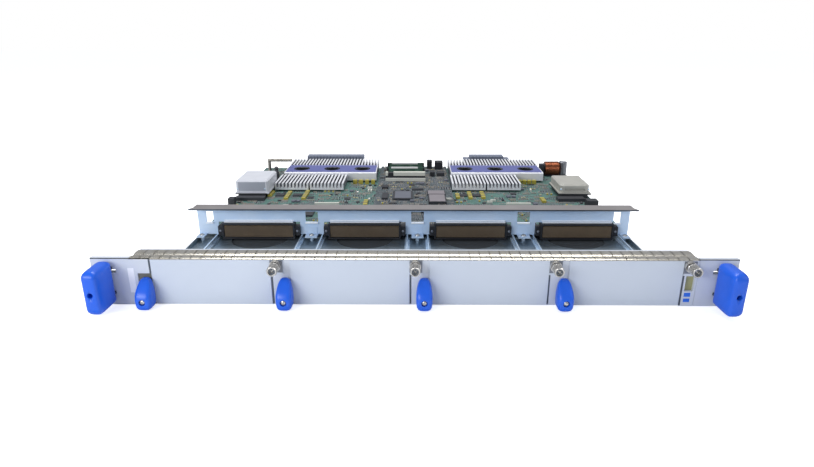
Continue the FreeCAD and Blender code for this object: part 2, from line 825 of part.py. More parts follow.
def make_ejector_arm(side, sign):
    """A flat steel arm clamped in the grip; it passes the ear and hooks the chassis rail."""
    x = f"{sign} * grip_x"
    body = new_body(f"{side}_arm")
    disc = sketch(body, f"{side}_arm_disc", "XY", ARM_Z)
    circle(disc, x, "-pivot_reach", "arm_disc_radius")
    pad(body, disc, "arm_thickness")
    tongue = sketch(body, f"{side}_arm_tongue", "XY", ARM_Z)
    half = "arm_tongue_width / 2"
    end = "-pivot_reach - arm_tongue"
    pad(body, loop(tongue, [(f"{x} - {half}", end), (f"{x} + {half}", end),
                            (f"{x} + {half}", "-pivot_reach"), (f"{x} - {half}", "-pivot_reach")]),
        "arm_thickness")
    neck = sketch(body, f"{side}_arm_neck", "XY", ARM_Z)
    # along and across the neck, which leans outwards by arm_angle
    run = ("arm_length", "(arm_length - hook_width)")
    out = "arm_neck_width / 2"

    def spot(forward, across):
        lean = f"{sign} * (({forward}) * sin(arm_angle) + ({across}) * cos(arm_angle))"
        rise = f"({forward}) * cos(arm_angle) - ({across}) * sin(arm_angle)"
        return (f"{x} + {lean}", f"{rise} - pivot_reach")

    pad(body, loop(neck, [
        spot(0, f"-{out}"), spot(run[1], f"-{out}"), spot(run[1], "-hook_length"),
        spot(run[0], "-hook_length"), spot(run[0], out), spot(0, out),
    ]), "arm_thickness")
    hole = sketch(body, f"{side}_arm_hole", "XY", ARM_Z)
    circle(hole, x, "-pivot_reach", "pin_radius + run_fit")
    pocket(body, hole)
    keep(f"{side}_ejector_arm", body)


def make_grip_screw(side, sign):
    """The captive screw inside a grip, shown backed out of the ear."""
    x = f"{sign} * grip_x"
    tip = "(seat_gap - pivot_reach + grip_width / 2 - slack)"
    head = rod(f"{side}_grip_screw_head", "Y", x, "-grip_screw_head_y", "grip_screw_z",
               "grip_screw_head_radius - run_fit", "grip_screw_head_length")
    shank = rod(f"{side}_grip_screw_shank", "Y", x, "-grip_screw_head_y", "grip_screw_z",
                "grip_screw_radius - run_fit", f"grip_screw_head_y + {tip}")
    recess = box(f"{side}_grip_screw_recess", f"{x} - grip_screw_head_radius / 2", "-grip_screw_head_y",
                 "grip_screw_z - seat_gap", "grip_screw_head_radius", "slack", "2 * seat_gap")
    keep(f"{side}_grip_screw", cut(f"{side}_screw", fuse(f"{side}_screw_solid", head, shank), recess))


def make_ejector_brackets():
    """Steel plates behind the ears; two lugs of each come forward through the ear."""
    plates = []
    for side, sign in SIDES.items():
        x = f"{sign} * grip_x"
        low, high = f"({LOWER_LUG_Z} - slack)", f"({UPPER_LUG_Z} + lug_thickness + slack)"
        plate = slab(f"{side}_plate", x, FRAME_BACK, low,
                     "bracket_width", "bracket_thickness", f"{high} - {low}")
        solids, holes = [plate], []
        for name, z in (("upper", UPPER_LUG_Z), ("lower", LOWER_LUG_Z)):
            solids.append(slab(f"{side}_{name}_lug", x, "-pivot_reach", z, "lug_width",
                               f"pivot_reach + {FRAME_BACK} + bracket_thickness", "lug_thickness"))
            solids.append(rod(f"{side}_{name}_lug_end", "Z", x, "-pivot_reach", z,
                              "lug_width / 2", "lug_thickness"))
            holes.append(rod(f"{side}_{name}_lug_bore", "Z", x, "-pivot_reach", z,
                             "pin_radius", "lug_thickness"))
        holes.append(slab(f"{side}_plate_slot", x, FRAME_BACK, f"{ARM_Z} - lug_room",
                          "grip_width + 5 * slack", "bracket_thickness", "arm_thickness + 2 * lug_room"))
        holes.append(rod(f"{side}_plate_hole", "Y", x, FRAME_BACK, "grip_screw_z",
                         "grip_screw_radius + seat_gap", "bracket_thickness"))
        plates.append(cut(f"{side}_bracket", fuse(f"{side}_bracket_solid", *solids), *holes))
    keep("ejector_brackets", group("brackets", plates))


def make_ejector_pins():
    """Two short dowels in each grip; the screw passes between them."""
    pins = []
    for side, sign in SIDES.items():
        for name, z in (("lower", "grip_bottom + pin_end"),
                        ("upper", "grip_bottom + grip_height - pin_end - pin_length")):
            pins.append(rod(f"{side}_{name}_pin", "Z", f"{sign} * grip_x", "-pivot_reach", z,
                            "pin_radius", "pin_length"))
    keep("ejector_pins", group("pins", pins))


# ---------------------------------------------------------------- tray, rails and bulkhead
def make_tray():
    """The folded tray with low sides and a round cut-out under each module connector."""
    body = new_body("tray_body")
    section = sketch(body, "tray_section", "XZ", FRAME_BACK)
    half = "card_width / 2"
    pad(body, loop(section, [
        (f"-{half}", 0), (half, 0), (half, "tray_side_height"), (f"{half} - sheet", "tray_side_height"),
        (f"{half} - sheet", "sheet"), (f"sheet - {half}", "sheet"),
        (f"sheet - {half}", "tray_side_height"), (f"-{half}", "tray_side_height"),
    ]), f"tray_depth - {FRAME_BACK}", back=True)
    holes = sketch(body, "tray_cutouts", "XY", 0)
    for bay in BAYS:
        circle(holes, bay_middle(bay), "cutout_y", "cutout_radius")
    pocket(body, holes)
    keep("tray", body)


def make_guide_rails():
    """Two bright rails per bay, with a lead-in lip at the front."""
    rails = []
    start = f"({FRAME_BACK} + blank_lip_depth)"
    for bay in BAYS:
        for sign in (-1, 1):
            middle = f"{bay_middle(bay)} + {sign} * rail_spread"
            foot = slab(f"rail_foot_{bay}_{sign + 1}", middle, start, "sheet",
                        "2 * rail_width", f"wall_y - {start}", "sheet")
            web = slab(f"rail_web_{bay}_{sign + 1}", middle, start, "sheet",
                       "rail_width / 2", f"wall_y - {start}", "rail_height")
            rails.append(fuse(f"rail_{bay}_{sign + 1}", foot, web))
    keep("guide_rails", group("rails", rails))


def make_bulkhead():
    """The folded wall that carries the module connectors, with windows between them."""
    body = new_body("bulkhead_body")
    half = "card_width / 2"
    notch = "(connector_bottom + connector_height + seat_gap)"
    reach = "(connector_width / 2 + seat_gap)"
    corners = [(f"-{half}", "wall_bottom")]
    for bay in BAYS:
        start, end = f"{bay_middle(bay)} - {reach}", f"{bay_middle(bay)} + {reach}"
        corners += [(start, "wall_bottom"), (start, notch), (end, notch), (end, "wall_bottom")]
    corners += [(half, "wall_bottom"), (half, "wall_top"), (f"-{half}", "wall_top")]
    pad(body, loop(sketch(body, "wall_outline", "XZ", "wall_y"), corners), "sheet", back=True)
    flange = sketch(body, "wall_flange", "XY", "wall_top - sheet")
    spur = f"({half} + wall_flange_spur)"
    front = "wall_y - wall_flange_depth"
    pad(body, loop(flange, [
        (f"-{half}", "wall_y + sheet"), (f"-{half}", f"{front} + 2 * wall_flange_spur"), (f"-{spur}", front),
        (spur, front), (half, f"{front} + 2 * wall_flange_spur"), (half, "wall_y + sheet"),
    ]), "sheet")
    windows = sketch(body, "wall_windows", "XZ", "wall_y")
    sill, head = "wall_window_sill", "wall_window_sill + wall_window_height"
    places = [(f"{bay_middle(bay)} + bay_pitch / 2", "wall_window_width / 2") for bay in BAYS[:-1]]
    places += [(f"{sign} * end_window_x", "end_window_width / 2") for sign in (-1, 1)]
    for middle, reach in places:
        start, end = f"{middle} - {reach}", f"{middle} + {reach}"
        loop(windows, [(start, sill), (end, sill), (end, head), (start, head)])
    pocket(body, windows)
    extras = []
    for index, (middle, reach) in enumerate(places):
        extras.append(slab(f"window_tab_{index}", middle, "wall_y - wall_tab", f"{sill} - sheet",
                           f"2 * {reach}", "wall_tab", "sheet"))
    for bay in BAYS:
        extras.append(slab(f"wall_lip_{bay}", bay_middle(bay), "wall_y - wall_lip_depth", notch,
                           "wall_lip_width", "wall_lip_depth", "sheet"))
    for index, (middle, reach) in enumerate(places[:3]):
        extras.append(slab(f"wall_patch_{index}", middle, "wall_y - sheet / 2", "wall_bottom + sheet",
                           "patch_width", "sheet / 2", "patch_height"))
    for index, (middle, width) in enumerate(feet()):
        extras.append(slab(f"wall_foot_{index}", middle, "wall_y - foot_depth", "wall_bottom",
                           width, "foot_depth", "sheet"))
    keep("bulkhead", fuse("bulkhead_folds", body, *extras))


def feet():
    """The middle and width of each bulkhead foot: at both ends and between the bays."""
    between = [(f"{bay_middle(bay)} + bay_pitch / 2", "foot_width") for bay in BAYS[:-1]]
    return [("-end_foot_x", "end_foot_width")] + between + [("end_foot_x", "end_foot_width")]


def make_standoffs():
    """Round posts under the bulkhead's feet, the main board and the mezzanine board."""
    posts = []
    for index, (middle, _) in enumerate(feet()):
        posts.append(rod(f"foot_post_{index}", "Z", middle, "wall_y - foot_depth / 2", "sheet",
                         "post_radius", "wall_bottom - sheet"))
    columns, rows = int(size("standoff_columns")), int(size("standoff_rows"))
    for column in range(columns):
        for row in range(rows):
            x = f"(board_width - 2 * post_inset_x) * ({column} / {columns - 1} - 0.5)"
            run = f"({BOARD_BACK} - board_front - post_inset_front - post_inset_back)"
            y = f"board_front + post_inset_front + {run} * {row} / {rows - 1}"
            posts.append(rod(f"board_post_{column}_{row}", "Z", x, y, "sheet",
                             "standoff_radius", "board_bottom - sheet"))
    for column in (0, 1):
        for row in (0, 1):
            inset = "2 * standoff_radius"
            x = f"mezzanine_left + {inset} + {column} * (mezzanine_width - 2 * {inset})"
            y = f"board_front + {inset} + {row} * (mezzanine_depth - 2 * {inset})"
            posts.append(rod(f"mezzanine_post_{column}_{row}", "Z", x, y, BOARD_TOP,
                             "standoff_radius / 2", "mezzanine_rise"))
    keep("standoffs", group("standoff_set", posts))


# ---------------------------------------------------------------- module connectors
def make_module_connector(bay):
    """A black high-density receptacle with low screw ears."""
    middle = bay_middle(bay)
    front = "(wall_y - connector_reach)"
    depth = f"board_front - {front}"
    shell = slab(f"shell_{bay}", middle, front, "connector_bottom", "connector_shell_width", depth,
                 "connector_height")
    ears = slab(f"ears_{bay}", middle, f"{front} + connector_wall",
                "connector_bottom + (connector_height - ear_height) / 2",
                "connector_width", f"{depth} - connector_wall", "ear_height")
    mouth = slab(f"mouth_of_{bay}", middle, front, "connector_bottom + connector_wall",
                 "connector_shell_width - 2 * connector_wall", "connector_mouth_depth",
                 "connector_height - 2 * connector_wall")
    solid = fuse(f"connector_solid_{bay}", shell, ears)
    keep(f"module_connector_{bay + 1}", cut(f"connector_{bay}", solid, mouth))


def make_connector_inserts():
    """The brown contact blocks that stand in the connectors' mouths."""
    blocks = []
    for bay in BAYS:
        blocks.append(slab(f"insert_{bay}", bay_middle(bay), "wall_y - connector_reach + connector_wall",
                           "connector_bottom + (connector_height - tongue_height) / 2",
                           "connector_shell_width - 4 * connector_wall",
                           "connector_mouth_depth - connector_wall", "tongue_height"))
    keep("connector_inserts", group("inserts", blocks))


# ---------------------------------------------------------------- boards
def make_boards():
    depth = f"({BOARD_BACK} - board_front)"
    board = slab("board", 0, "board_front", "board_bottom", "board_width", depth, "board_thickness")
    keep("main_board", group("board_alone", [board]))
    mezzanine = box("mezzanine", "mezzanine_left", "board_front", MEZZANINE_BOTTOM,
                    "mezzanine_width", "mezzanine_depth", "board_thickness")
    keep("mezzanine_board", group("mezzanine_alone", [mezzanine]))


# ---------------------------------------------------------------- heat sinks and chips
SINKS = {
    1: "sink_pair_left - sink_pair_spacing / 2",
    2: "sink_pair_left + sink_pair_spacing / 2",
    3: "sink_pair_right - sink_pair_spacing / 2",
    4: "sink_pair_right + sink_pair_spacing / 2",
}
BIG_SINKS = {"left": "big_sink_left", "right": "big_sink_right"}
SINK_BOTTOM = f"({BOARD_TOP} + chip_height)"


def make_front_heat_sink(index, middle):
    """An extruded sink: a base with fins that run from front to back."""
    body = new_body(f"sink_{index}")
    left, right = f"{middle} - sink_width / 2", f"{middle} + sink_width / 2"
    base = sketch(body, f"sink_base_{index}", "XZ", "sink_y")
    top = f"{SINK_BOTTOM} + sink_base"
    pad(body, loop(base, [(left, SINK_BOTTOM), (right, SINK_BOTTOM), (right, top), (left, top)]),
        "sink_depth", back=True)
    fin = sketch(body, f"sink_fin_{index}", "XZ", "sink_y")
    loop(fin, [(left, top), (f"{left} + fin_thickness", top), (f"{left} + fin_thickness", "sink_top"),
               (left, "sink_top")])
    first = pad(body, fin, "sink_depth", back=True)
    repeat(body, first, "X", size("fin_count"), "sink_width - fin_thickness")
    keep(f"front_heat_sink_{index}", body)


def make_rear_heat_sink(side, middle):
    """A wide sink: a flat, drilled landing in front and a bank of fins behind it."""
    body = new_body(f"{side}_big_sink")
    back = "(big_sink_y + big_sink_depth)"
    landing = "(big_sink_y + big_sink_flat)"
    bottom = SINK_BOTTOM
    profile = sketch(body, f"{side}_sink_profile", "YZ", f"{middle} - big_sink_width / 2")
    pad(body, loop(profile, [
        ("big_sink_y", bottom), (back, bottom), (back, f"{bottom} + big_sink_base"),
        (landing, f"{bottom} + big_sink_base"), (landing, "big_sink_top"),
        ("big_sink_y + big_sink_bevel", "big_sink_top"), ("big_sink_y", "big_sink_top - big_sink_bevel"),
    ]), "big_sink_width")
    holes = sketch(body, f"{side}_sink_holes", "XY", "big_sink_top")
    count = int(size("sink_hole_count"))
    for index in range(count):
        circle(holes, f"{middle} + sink_hole_spacing * ({index} - {(count - 1) / 2})",
               "big_sink_y + big_sink_flat / 2", "sink_hole_radius")
    pocket(body, holes, f"big_sink_top - {bottom} - big_sink_base")
    fin = sketch(body, f"{side}_sink_fin", "XZ", landing)
    left = f"{middle} - big_sink_width / 2"
    top = f"{bottom} + big_sink_base"
    right = f"{left} + big_fin_thickness"
    loop(fin, [(left, top), (right, top), (right, "big_fin_top"), (left, "big_fin_top")])
    first = pad(body, fin, f"{back} - {landing}", back=True)
    repeat(body, first, "X", size("big_fin_count"), "big_sink_width - big_fin_thickness")
    keep(f"rear_heat_sink_{side}", body)


def make_sink_chips():
    """Packages under the heat sinks, one under each front sink and three under each rear one."""
    chips = []
    for index, middle in SINKS.items():
        chips.append(slab(f"chip_{index}", middle, "sink_y + (sink_depth - chip_width) / 2", BOARD_TOP,
                          "chip_width", "chip_width", "chip_height"))
    for side, middle in BIG_SINKS.items():
        for index in (-1, 0, 1):
            chips.append(slab(f"{side}_chip_{index + 1}", f"{middle} + {index} * sink_hole_spacing",
                              "big_sink_y + big_sink_flat - chip_width / 2", BOARD_TOP,
                              "chip_width", "chip_width", "chip_height"))
    keep("heat_sink_chips", group("sink_chips", chips))


# ---------------------------------------------------------------- power modules
def make_power_module(side, sign, height):
    """A potted converter: a chamfered can on a flanged base, lifted on a black block."""
    middle = f"{sign} * brick_x"
    bottom = f"({BOARD_TOP} + brick_rise)"
    body = new_body(f"{side}_brick")
    can = sketch(body, f"{side}_brick_can", "XY", bottom)
    wide = "(brick_width / 2 - brick_flange)"
    back = "(brick_y + brick_depth - brick_flange)"
    pad(body, loop(can, [
        (f"{middle} - {wide} + brick_chamfer", "brick_y + brick_flange"),
        (f"{middle} + {wide} - brick_chamfer", "brick_y + brick_flange"),
        (f"{middle} + {wide}", "brick_y + brick_flange + brick_chamfer"),
        (f"{middle} + {wide}", back), (f"{middle} - {wide}", back),
        (f"{middle} - {wide}", "brick_y + brick_flange + brick_chamfer"),
    ]), height)
    top = doc_value(f"{bottom} + {height}")
    round_edges(body, "brick_flange", lambda edge: abs(edge.BoundBox.ZMin - top) < 0.01, kind="Chamfer")
    rim = sketch(body, f"{side}_brick_rim", "XY", bottom)
    edge = "brick_width / 2"
    pad(body, loop(rim, [
        (f"{middle} - {edge}", "brick_y"), (f"{middle} + {edge}", "brick_y"),
        (f"{middle} + {edge}", "brick_y + brick_depth"), (f"{middle} - {edge}", "brick_y + brick_depth"),
    ]), "brick_flange_height")
    if side == "right":
        slot = sketch(body, "brick_slot", "XZ", "brick_y + brick_flange")
        low = f"{bottom} + brick_flange_height + brick_slot_height"
        pocket(body, loop(slot, [
            (f"{middle} - brick_slot_width / 2", low), (f"{middle} + brick_slot_width / 2", low),
            (f"{middle} + brick_slot_width / 2", f"{low} + brick_slot_height"),
            (f"{middle} - brick_slot_width / 2", f"{low} + brick_slot_height"),
        ]), "brick_slot_depth")
    keep(f"power_module_{side}", body)


# ---------------------------------------------------------------- backplane connectors
def make_backplane_connector(side, middle, width, shoulder):
    """A shielded press-fit connector; slits between its wafers, and low shoulders on the right one."""
    body = new_body(f"{side}_plug")
    outline = sketch(body, f"{side}_plug_outline", "XZ", "plug_y")
    left, right = f"{middle} - {width} / 2", f"{middle} + {width} / 2"
    low, high = BOARD_TOP, "plug_top"
    if shoulder:
        step = "plug_top - plug_shoulder_drop"
        corners = [(f"{left} - plug_shoulder", low), (f"{right} + plug_shoulder", low),
                   (f"{right} + plug_shoulder", step), (right, step), (right, high), (left, high), (left, step),
                   (f"{left} - plug_shoulder", step)]
    else:
        corners = [(left, low), (right, low), (right, high), (left, high)]
    pad(body, loop(outline, corners), "plug_depth", back=True)
    slit = sketch(body, f"{side}_plug_slit", "XZ", "plug_y")
    loop(slit, [(f"{left} + wafer_pitch", low), (f"{left} + wafer_pitch + wafer_slit", low),
                (f"{left} + wafer_pitch + wafer_slit", high), (f"{left} + wafer_pitch", high)])
    first = pocket(body, slit, "wafer_slit_depth")
    count = int(doc_value(width) / size("wafer_pitch")) - 1
    repeat(body, first, "X", count, f"{count - 1} * wafer_pitch")
    keep(f"backplane_connector_{side}", body)


# ---------------------------------------------------------------- small parts
# (x, y, length) of the yellow capacitors that lie along Y
CAPACITORS = [(-221, 351, 24), (-193, 333, 40), (-166, 333, 46), (-70, 300, 26),
              (69, 340, 22), (88, 338, 34), (108, 340, 34), (196, 320, 20)]
# (first x, y, count, pitch) of rows of capacitors beside the rear sinks
CAPACITOR_ROWS = [(-96, 428, 4, 10), (178, 428, 4, 8)]
# (x, y, length, width, height) of black packages on the main board
BOARD_CHIPS = [(-266, 301, 9, 12, 11), (-246, 328, 44, 12, 5), (-206, 352, 14, 12, 2), (-179, 352, 14, 12, 2),
               (-150, 250, 22, 22, 2.4), (-95, 262, 18, 18, 2.4), (98, 352, 14, 12, 2), (78.5, 352, 11, 12, 2),
               (238, 326, 40, 14, 5), (262, 300, 16, 14, 9), (227, 488, 8, 12, 20), (-252, 464, 9, 9, 9)]
# (x, y, length, width, height) of packages on the mezzanine board
MEZZANINE_CHIPS = [(-15, 316, 30, 44, 3), (36, 340, 28, 22, 3), (36, 296, 26, 40, 4), (-6, 252, 9, 9, 6),
                   (16, 252, 9, 9, 6), (34, 462, 8, 18, 8), (48, 464, 12, 18, 6), (-44, 380, 10, 14, 4),
                   (8, 372, 18, 10, 2), (-28, 272, 12, 10, 2), (50, 258, 8, 12, 3), (-42, 320, 9, 30, 3)]
# y of each memory socket on the mezzanine board
MEMORY_ROWS = [430, 466, 500]
# x of each white header on the main board
HEADERS = [-127, 156]


def make_capacitors():
    pieces = [slab(f"capacitor_{index}", x, y, BOARD_TOP, "capacitor_width", length, "capacitor_height")
              for index, (x, y, length) in enumerate(CAPACITORS)]
    for row, (x, y, count, pitch) in enumerate(CAPACITOR_ROWS):
        pieces += [slab(f"capacitor_{row}_{index}", x + index * pitch, y, BOARD_TOP,
                        "capacitor_width", "capacitor_width", "2 * capacitor_height") for index in range(count)]
    keep("tantalum_capacitors", group("capacitors", pieces))


def make_chips():
    board = [slab(f"board_chip_{index}", x, y, BOARD_TOP, length, width, height)
             for index, (x, y, length, width, height) in enumerate(BOARD_CHIPS)]
    bases = [slab(f"brick_base_{sign + 1}", f"{sign} * brick_x", "brick_y + brick_flange", BOARD_TOP,
                  "brick_width - 4 * brick_flange", "brick_depth - 2 * brick_flange", "brick_rise")
             for sign in (-1, 1)]
    keep("board_chips", group("board_chip_set", board + bases))
    mezzanine = [slab(f"mezzanine_chip_{index}", x, y, MEZZANINE_TOP, length, width, height)
                 for index, (x, y, length, width, height) in enumerate(MEZZANINE_CHIPS)]
    keep("mezzanine_chips", group("mezzanine_chip_set", mezzanine))


def make_memory():
    """Three memory modules lying in open sockets, and two white headers at the board's front."""
    sockets, cards = [], []
    for index, y in enumerate(MEMORY_ROWS):
        sockets.append(slab(f"socket_{index}", "memory_x", y, MEZZANINE_TOP,
                            "socket_length", "socket_width", "socket_height"))
        cards.append(slab(f"memory_{index}", "memory_x", f"{y} + socket_width",
                          f"{MEZZANINE_TOP} + (socket_height - memory_thickness) / 2",
                          "memory_length", "memory_width", "memory_thickness"))
    for index, x in enumerate(HEADERS):
        sockets.append(slab(f"header_{index}", x, "header_y", BOARD_TOP,
                            "header_length", "header_width", "header_height"))
    keep("board_sockets", group("sockets", sockets))
    keep("memory_modules", group("memory", cards))


def make_power_parts():
    """A wound choke, a round can beside it and a bent earth rod on the left."""
    core = rod("coil_core", "X", "coil_x - coil_length / 2", "coil_y", f"{BOARD_TOP} + coil_radius",
               "coil_radius", "coil_length")
    hole = rod("coil_hole", "X", "coil_x - coil_length / 2", "coil_y", f"{BOARD_TOP} + coil_radius",
               "coil_core", "coil_length")
    keep("choke_coil", cut("coil", core, hole))
    can = rod("can", "Z", "board_width / 2 - can_inset", "coil_y", BOARD_TOP, "can_radius", "can_height")
    keep("filter_can", group("can_alone", [can]))
    post = rod("rod_post", "Z", "rod_x", "rod_y", BOARD_TOP, "rod_radius", "rod_height")
    bend = doc.addObject("Part::Sphere", "rod_elbow")
    bind(bend, Radius="rod_radius")
    place(bend, "rod_x", "rod_y", f"{BOARD_TOP} + rod_height")
    run = rod("rod_arm", "X", "rod_x", "rod_y", f"{BOARD_TOP} + rod_height", "rod_radius", "rod_run")
    foot = rod("rod_foot", "Z", "rod_x", "rod_y", BOARD_TOP, "2 * rod_radius", "2 * rod_radius")
    keep("earth_rod", fuse("rod", post, bend, run, foot))


# ---------------------------------------------------------------- build
make_front_frame()
make_gasket_strips()
for bay in BAYS:
    make_blank_panel(bay)
    make_thumbscrew(bay)
    make_retaining_ring(bay)
    make_module_lever(bay)
    make_module_connector(bay)
make_ferrules()
make_lever_screws()
for side, sign in SIDES.items():
    make_ejector_grip(side, sign)
    make_ejector_arm(side, sign)
    make_grip_screw(side, sign)
make_ejector_brackets()
make_ejector_pins()
make_tray()
make_guide_rails()
make_bulkhead()
make_standoffs()
make_connector_inserts()
make_boards()
for index, middle in SINKS.items():
    make_front_heat_sink(index, middle)
for side, middle in BIG_SINKS.items():
    make_rear_heat_sink(side, middle)
make_sink_chips()
make_power_module("left", -1, "brick_height_left")
make_power_module("right", 1, "brick_height_right")
make_backplane_connector("left", "plug_left_x", "plug_left_width", shoulder=False)
make_backplane_connector("right", "plug_right_x", "plug_right_width", shoulder=True)
make_capacitors()
make_chips()
make_memory()
make_power_parts()
doc.recompute()


# ---------------------------------------------------------------- check and write
def check():
    failed = [item.Label for item in doc.Objects if {"Invalid", "Error"} & set(item.State)]
    if failed:
        raise RuntimeError(f"failed: {failed}")
    for item in doc.Objects:
        if item.TypeId == "PartDesign::Pocket" and item.BaseFeature:
            if item.Shape.Volume >= item.BaseFeature.Shape.Volume - 1e-6:
                raise RuntimeError(f"{item.Label} removes nothing")
    for node, piece in nodes.items():
        if piece.Shape.isNull() or not piece.Shape.isValid() or not piece.Shape.Solids:
            raise RuntimeError(f"{node} has no valid shape")


check()
os.makedirs("parts", exist_ok=True)
for node, piece in nodes.items():
    piece.Shape.exportStep(f"parts/{node}.step")
print(len(nodes), "sub-parts written")
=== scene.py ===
# %% [markdown]
# # A router line card, lying flat with its faceplate to the viewer
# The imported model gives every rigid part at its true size. This script gives those parts their
# finishes, swaps the plain stand-ins for detailed pieces and adds the small things between them.

# %% Load the frame
import math
import random

import bmesh
import bpy
from mathutils import Matrix, Vector


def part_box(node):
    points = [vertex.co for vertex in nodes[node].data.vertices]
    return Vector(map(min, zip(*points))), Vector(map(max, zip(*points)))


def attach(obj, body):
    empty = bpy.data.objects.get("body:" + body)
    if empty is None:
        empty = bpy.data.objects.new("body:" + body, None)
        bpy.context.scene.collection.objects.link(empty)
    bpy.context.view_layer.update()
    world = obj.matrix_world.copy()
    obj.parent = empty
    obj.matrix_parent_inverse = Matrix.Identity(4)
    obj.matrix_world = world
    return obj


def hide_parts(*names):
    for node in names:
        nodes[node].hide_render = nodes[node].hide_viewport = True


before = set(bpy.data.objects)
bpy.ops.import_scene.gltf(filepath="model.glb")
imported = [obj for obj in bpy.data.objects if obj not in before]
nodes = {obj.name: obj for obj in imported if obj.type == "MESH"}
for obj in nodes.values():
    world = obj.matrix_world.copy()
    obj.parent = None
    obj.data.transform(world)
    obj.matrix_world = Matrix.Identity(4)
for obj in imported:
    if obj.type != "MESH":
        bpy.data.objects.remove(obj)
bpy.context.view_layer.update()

MM = 0.001

# %% [markdown]
# ## Places that everything else is worked out from
# The face of the blank covers is the plane that the eye reads first, so pieces on the front are
# placed from it. The rest comes from the boxes of the parts that carry them. The frame is in metres;
# FACE, BOARD, MEZZANINE and TRAY_FRONT are the same kind of place in millimetres.

# %% Key places


def box_mm(node):
    """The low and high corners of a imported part, in millimetres."""
    return [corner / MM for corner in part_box(node)]


face_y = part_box("blank_panel_1")[0].y
card_low, card_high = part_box("tray")
board_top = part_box("main_board")[1].z
FACE, BOARD, MEZZANINE = (place / MM for place in (face_y, board_top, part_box("mezzanine_board")[1].z))
TRAY_FRONT = -265
BAYS, SIDES = (1, 2, 3, 4), ("left", "right")
print("face at", round(FACE, 1), "mm, board top at", round(BOARD, 1), "mm")

# %% [markdown]
# ## Small tools
# A bmesh is a mesh that operators shape before any object exists. One tool turns it into a finished
# piece that rides on a body; the others add a bevelled block or a round bar to it.

# %% Helpers for shapes


def as_mesh(name, shape, material):
    """Write a bmesh to a new mesh with its material, and free it."""
    mesh = bpy.data.meshes.new(name)
    shape.to_mesh(mesh)
    shape.free()
    mesh.materials.append(material)
    return mesh


def place_object(name, data):
    """Put a mesh, a lamp or a camera in the scene."""
    made = bpy.data.objects.new(name, data)
    bpy.context.scene.collection.objects.link(made)
    return made


def finish(name, shape, material, body="root", crease=32):
    """Turn a bmesh into a piece: sharp edges above the crease angle, smooth shading elsewhere."""
    bmesh.ops.recalc_face_normals(shape, faces=shape.faces)
    for edge in shape.edges:
        edge.smooth = len(edge.link_faces) == 2 and edge.calc_face_angle(0) < math.radians(crease)
    for face in shape.faces:
        face.smooth = True
    piece = place_object(name, as_mesh(name, shape, material))
    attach(piece, body)
    return piece


def block(shape, low, high, bevel=0.0):
    """A block between two corners in metres, with its edges bevelled."""
    low, high = Vector(low), Vector(high)
    size = high - low
    place = Matrix.Translation((low + high) / 2) @ Matrix.Diagonal((*size, 1))
    made = bmesh.ops.create_cube(shape, size=1, matrix=place)["verts"]
    if bevel:
        edges = {edge for vert in made for edge in vert.link_edges}
        bmesh.ops.bevel(shape, geom=list(edges), offset=bevel, segments=1, profile=0.5,
                        affect="EDGES", material=-1)


def slab(shape, low, high, bevel=0.0):
    """The same block with its corners and bevel in millimetres."""
    block(shape, Vector(low) * MM, Vector(high) * MM, bevel * MM)


TURN = {
    "X": Matrix.Rotation(math.radians(90), 4, "Y"),
    "Y": Matrix.Rotation(math.radians(-90), 4, "X"),
    "Z": Matrix.Identity(4),
}


def bar(shape, start, axis, radius, length, sides=24, tip=None):
    """A round bar or cone from its first end, along X, Y or Z."""
    middle = Vector(start) + TURN[axis] @ Vector((0, 0, length / 2))
    bmesh.ops.create_cone(shape, cap_ends=True, segments=sides, radius1=radius,
                          radius2=radius if tip is None else tip, depth=length,
                          matrix=Matrix.Translation(middle) @ TURN[axis])


# %% [markdown]
# ## Colour and node tools
# Colours are written as the sRGB hex values that a designer would pick, and one function turns them
# to the linear values that the shader wants. One more function adds a node, sets it and links it.

# %% Helpers for materials


def linear(text):
    """An sRGB hex colour as linear red, green, blue and alpha."""
    parts = [int(text[i:i + 2], 16) / 255 for i in (1, 3, 5)]
    return tuple(c / 12.92 if c <= 0.04045 else ((c + 0.055) / 1.055) ** 2.4 for c in parts) + (1.0,)


def add(tree, kind, sockets=(), **settings):
    """Add a node; a socket given another node's output is linked, any other value is set."""
    made = tree.nodes.new(kind)
    for key, value in settings.items():
        setattr(made, key, value)
    for key, value in dict(sockets).items():
        if isinstance(value, bpy.types.NodeSocket):
            tree.links.new(value, made.inputs[key])
        else:
            made.inputs[key].default_value = value
    return made


def start_material(name, **principled):
    """An empty material with one Principled shader; returns it, its tree, shader and coordinates."""
    material = bpy.data.materials.new(name)
    material.use_nodes = True
    tree = material.node_tree
    tree.nodes.clear()
    shader = add(tree, "ShaderNodeBsdfPrincipled", {k.replace("_", " "): v for k, v in principled.items()})
    add(tree, "ShaderNodeOutputMaterial", {"Surface": shader.outputs[0]})
    place = add(tree, "ShaderNodeTexCoord").outputs["Object"]
    return material, tree, shader, place


def per_mm(size_mm):
    """The texture scale, per metre, of a pattern whose grain is this many millimetres."""
    return 1000 / size_mm


# %% [markdown]
# ## Finishes
# Each finish starts from what the real one is. No real surface has one even colour: paint is handled,
# plating clouds and resin flows. So nearly every finish here lets its colour wander between two shades.

# %% Cloudy colour


def drift(tree, shader, place, colour, shade, size_mm, detail):
    """Let the base colour wander between two shades, in clouds of a real size."""
    cloud = add(tree, "ShaderNodeTexNoise", {"Vector": place, "Scale": per_mm(size_mm), "Detail": detail})
    tint = add(tree, "ShaderNodeMix", {"Factor": cloud.outputs[0], 6: linear(colour), 7: linear(shade)},
               data_type="RGBA")
    tree.links.new(tint.outputs[2], shader.inputs["Base Color"])
    return cloud


# %% [markdown]
# Powder coat levels as it melts but keeps a fine orange peel, which is drawn as a shallow bump. Zinc plate
# gets its rolling lines from the same noise stretched along the sheet, and they change its roughness too.

# %% Painted and plated metal


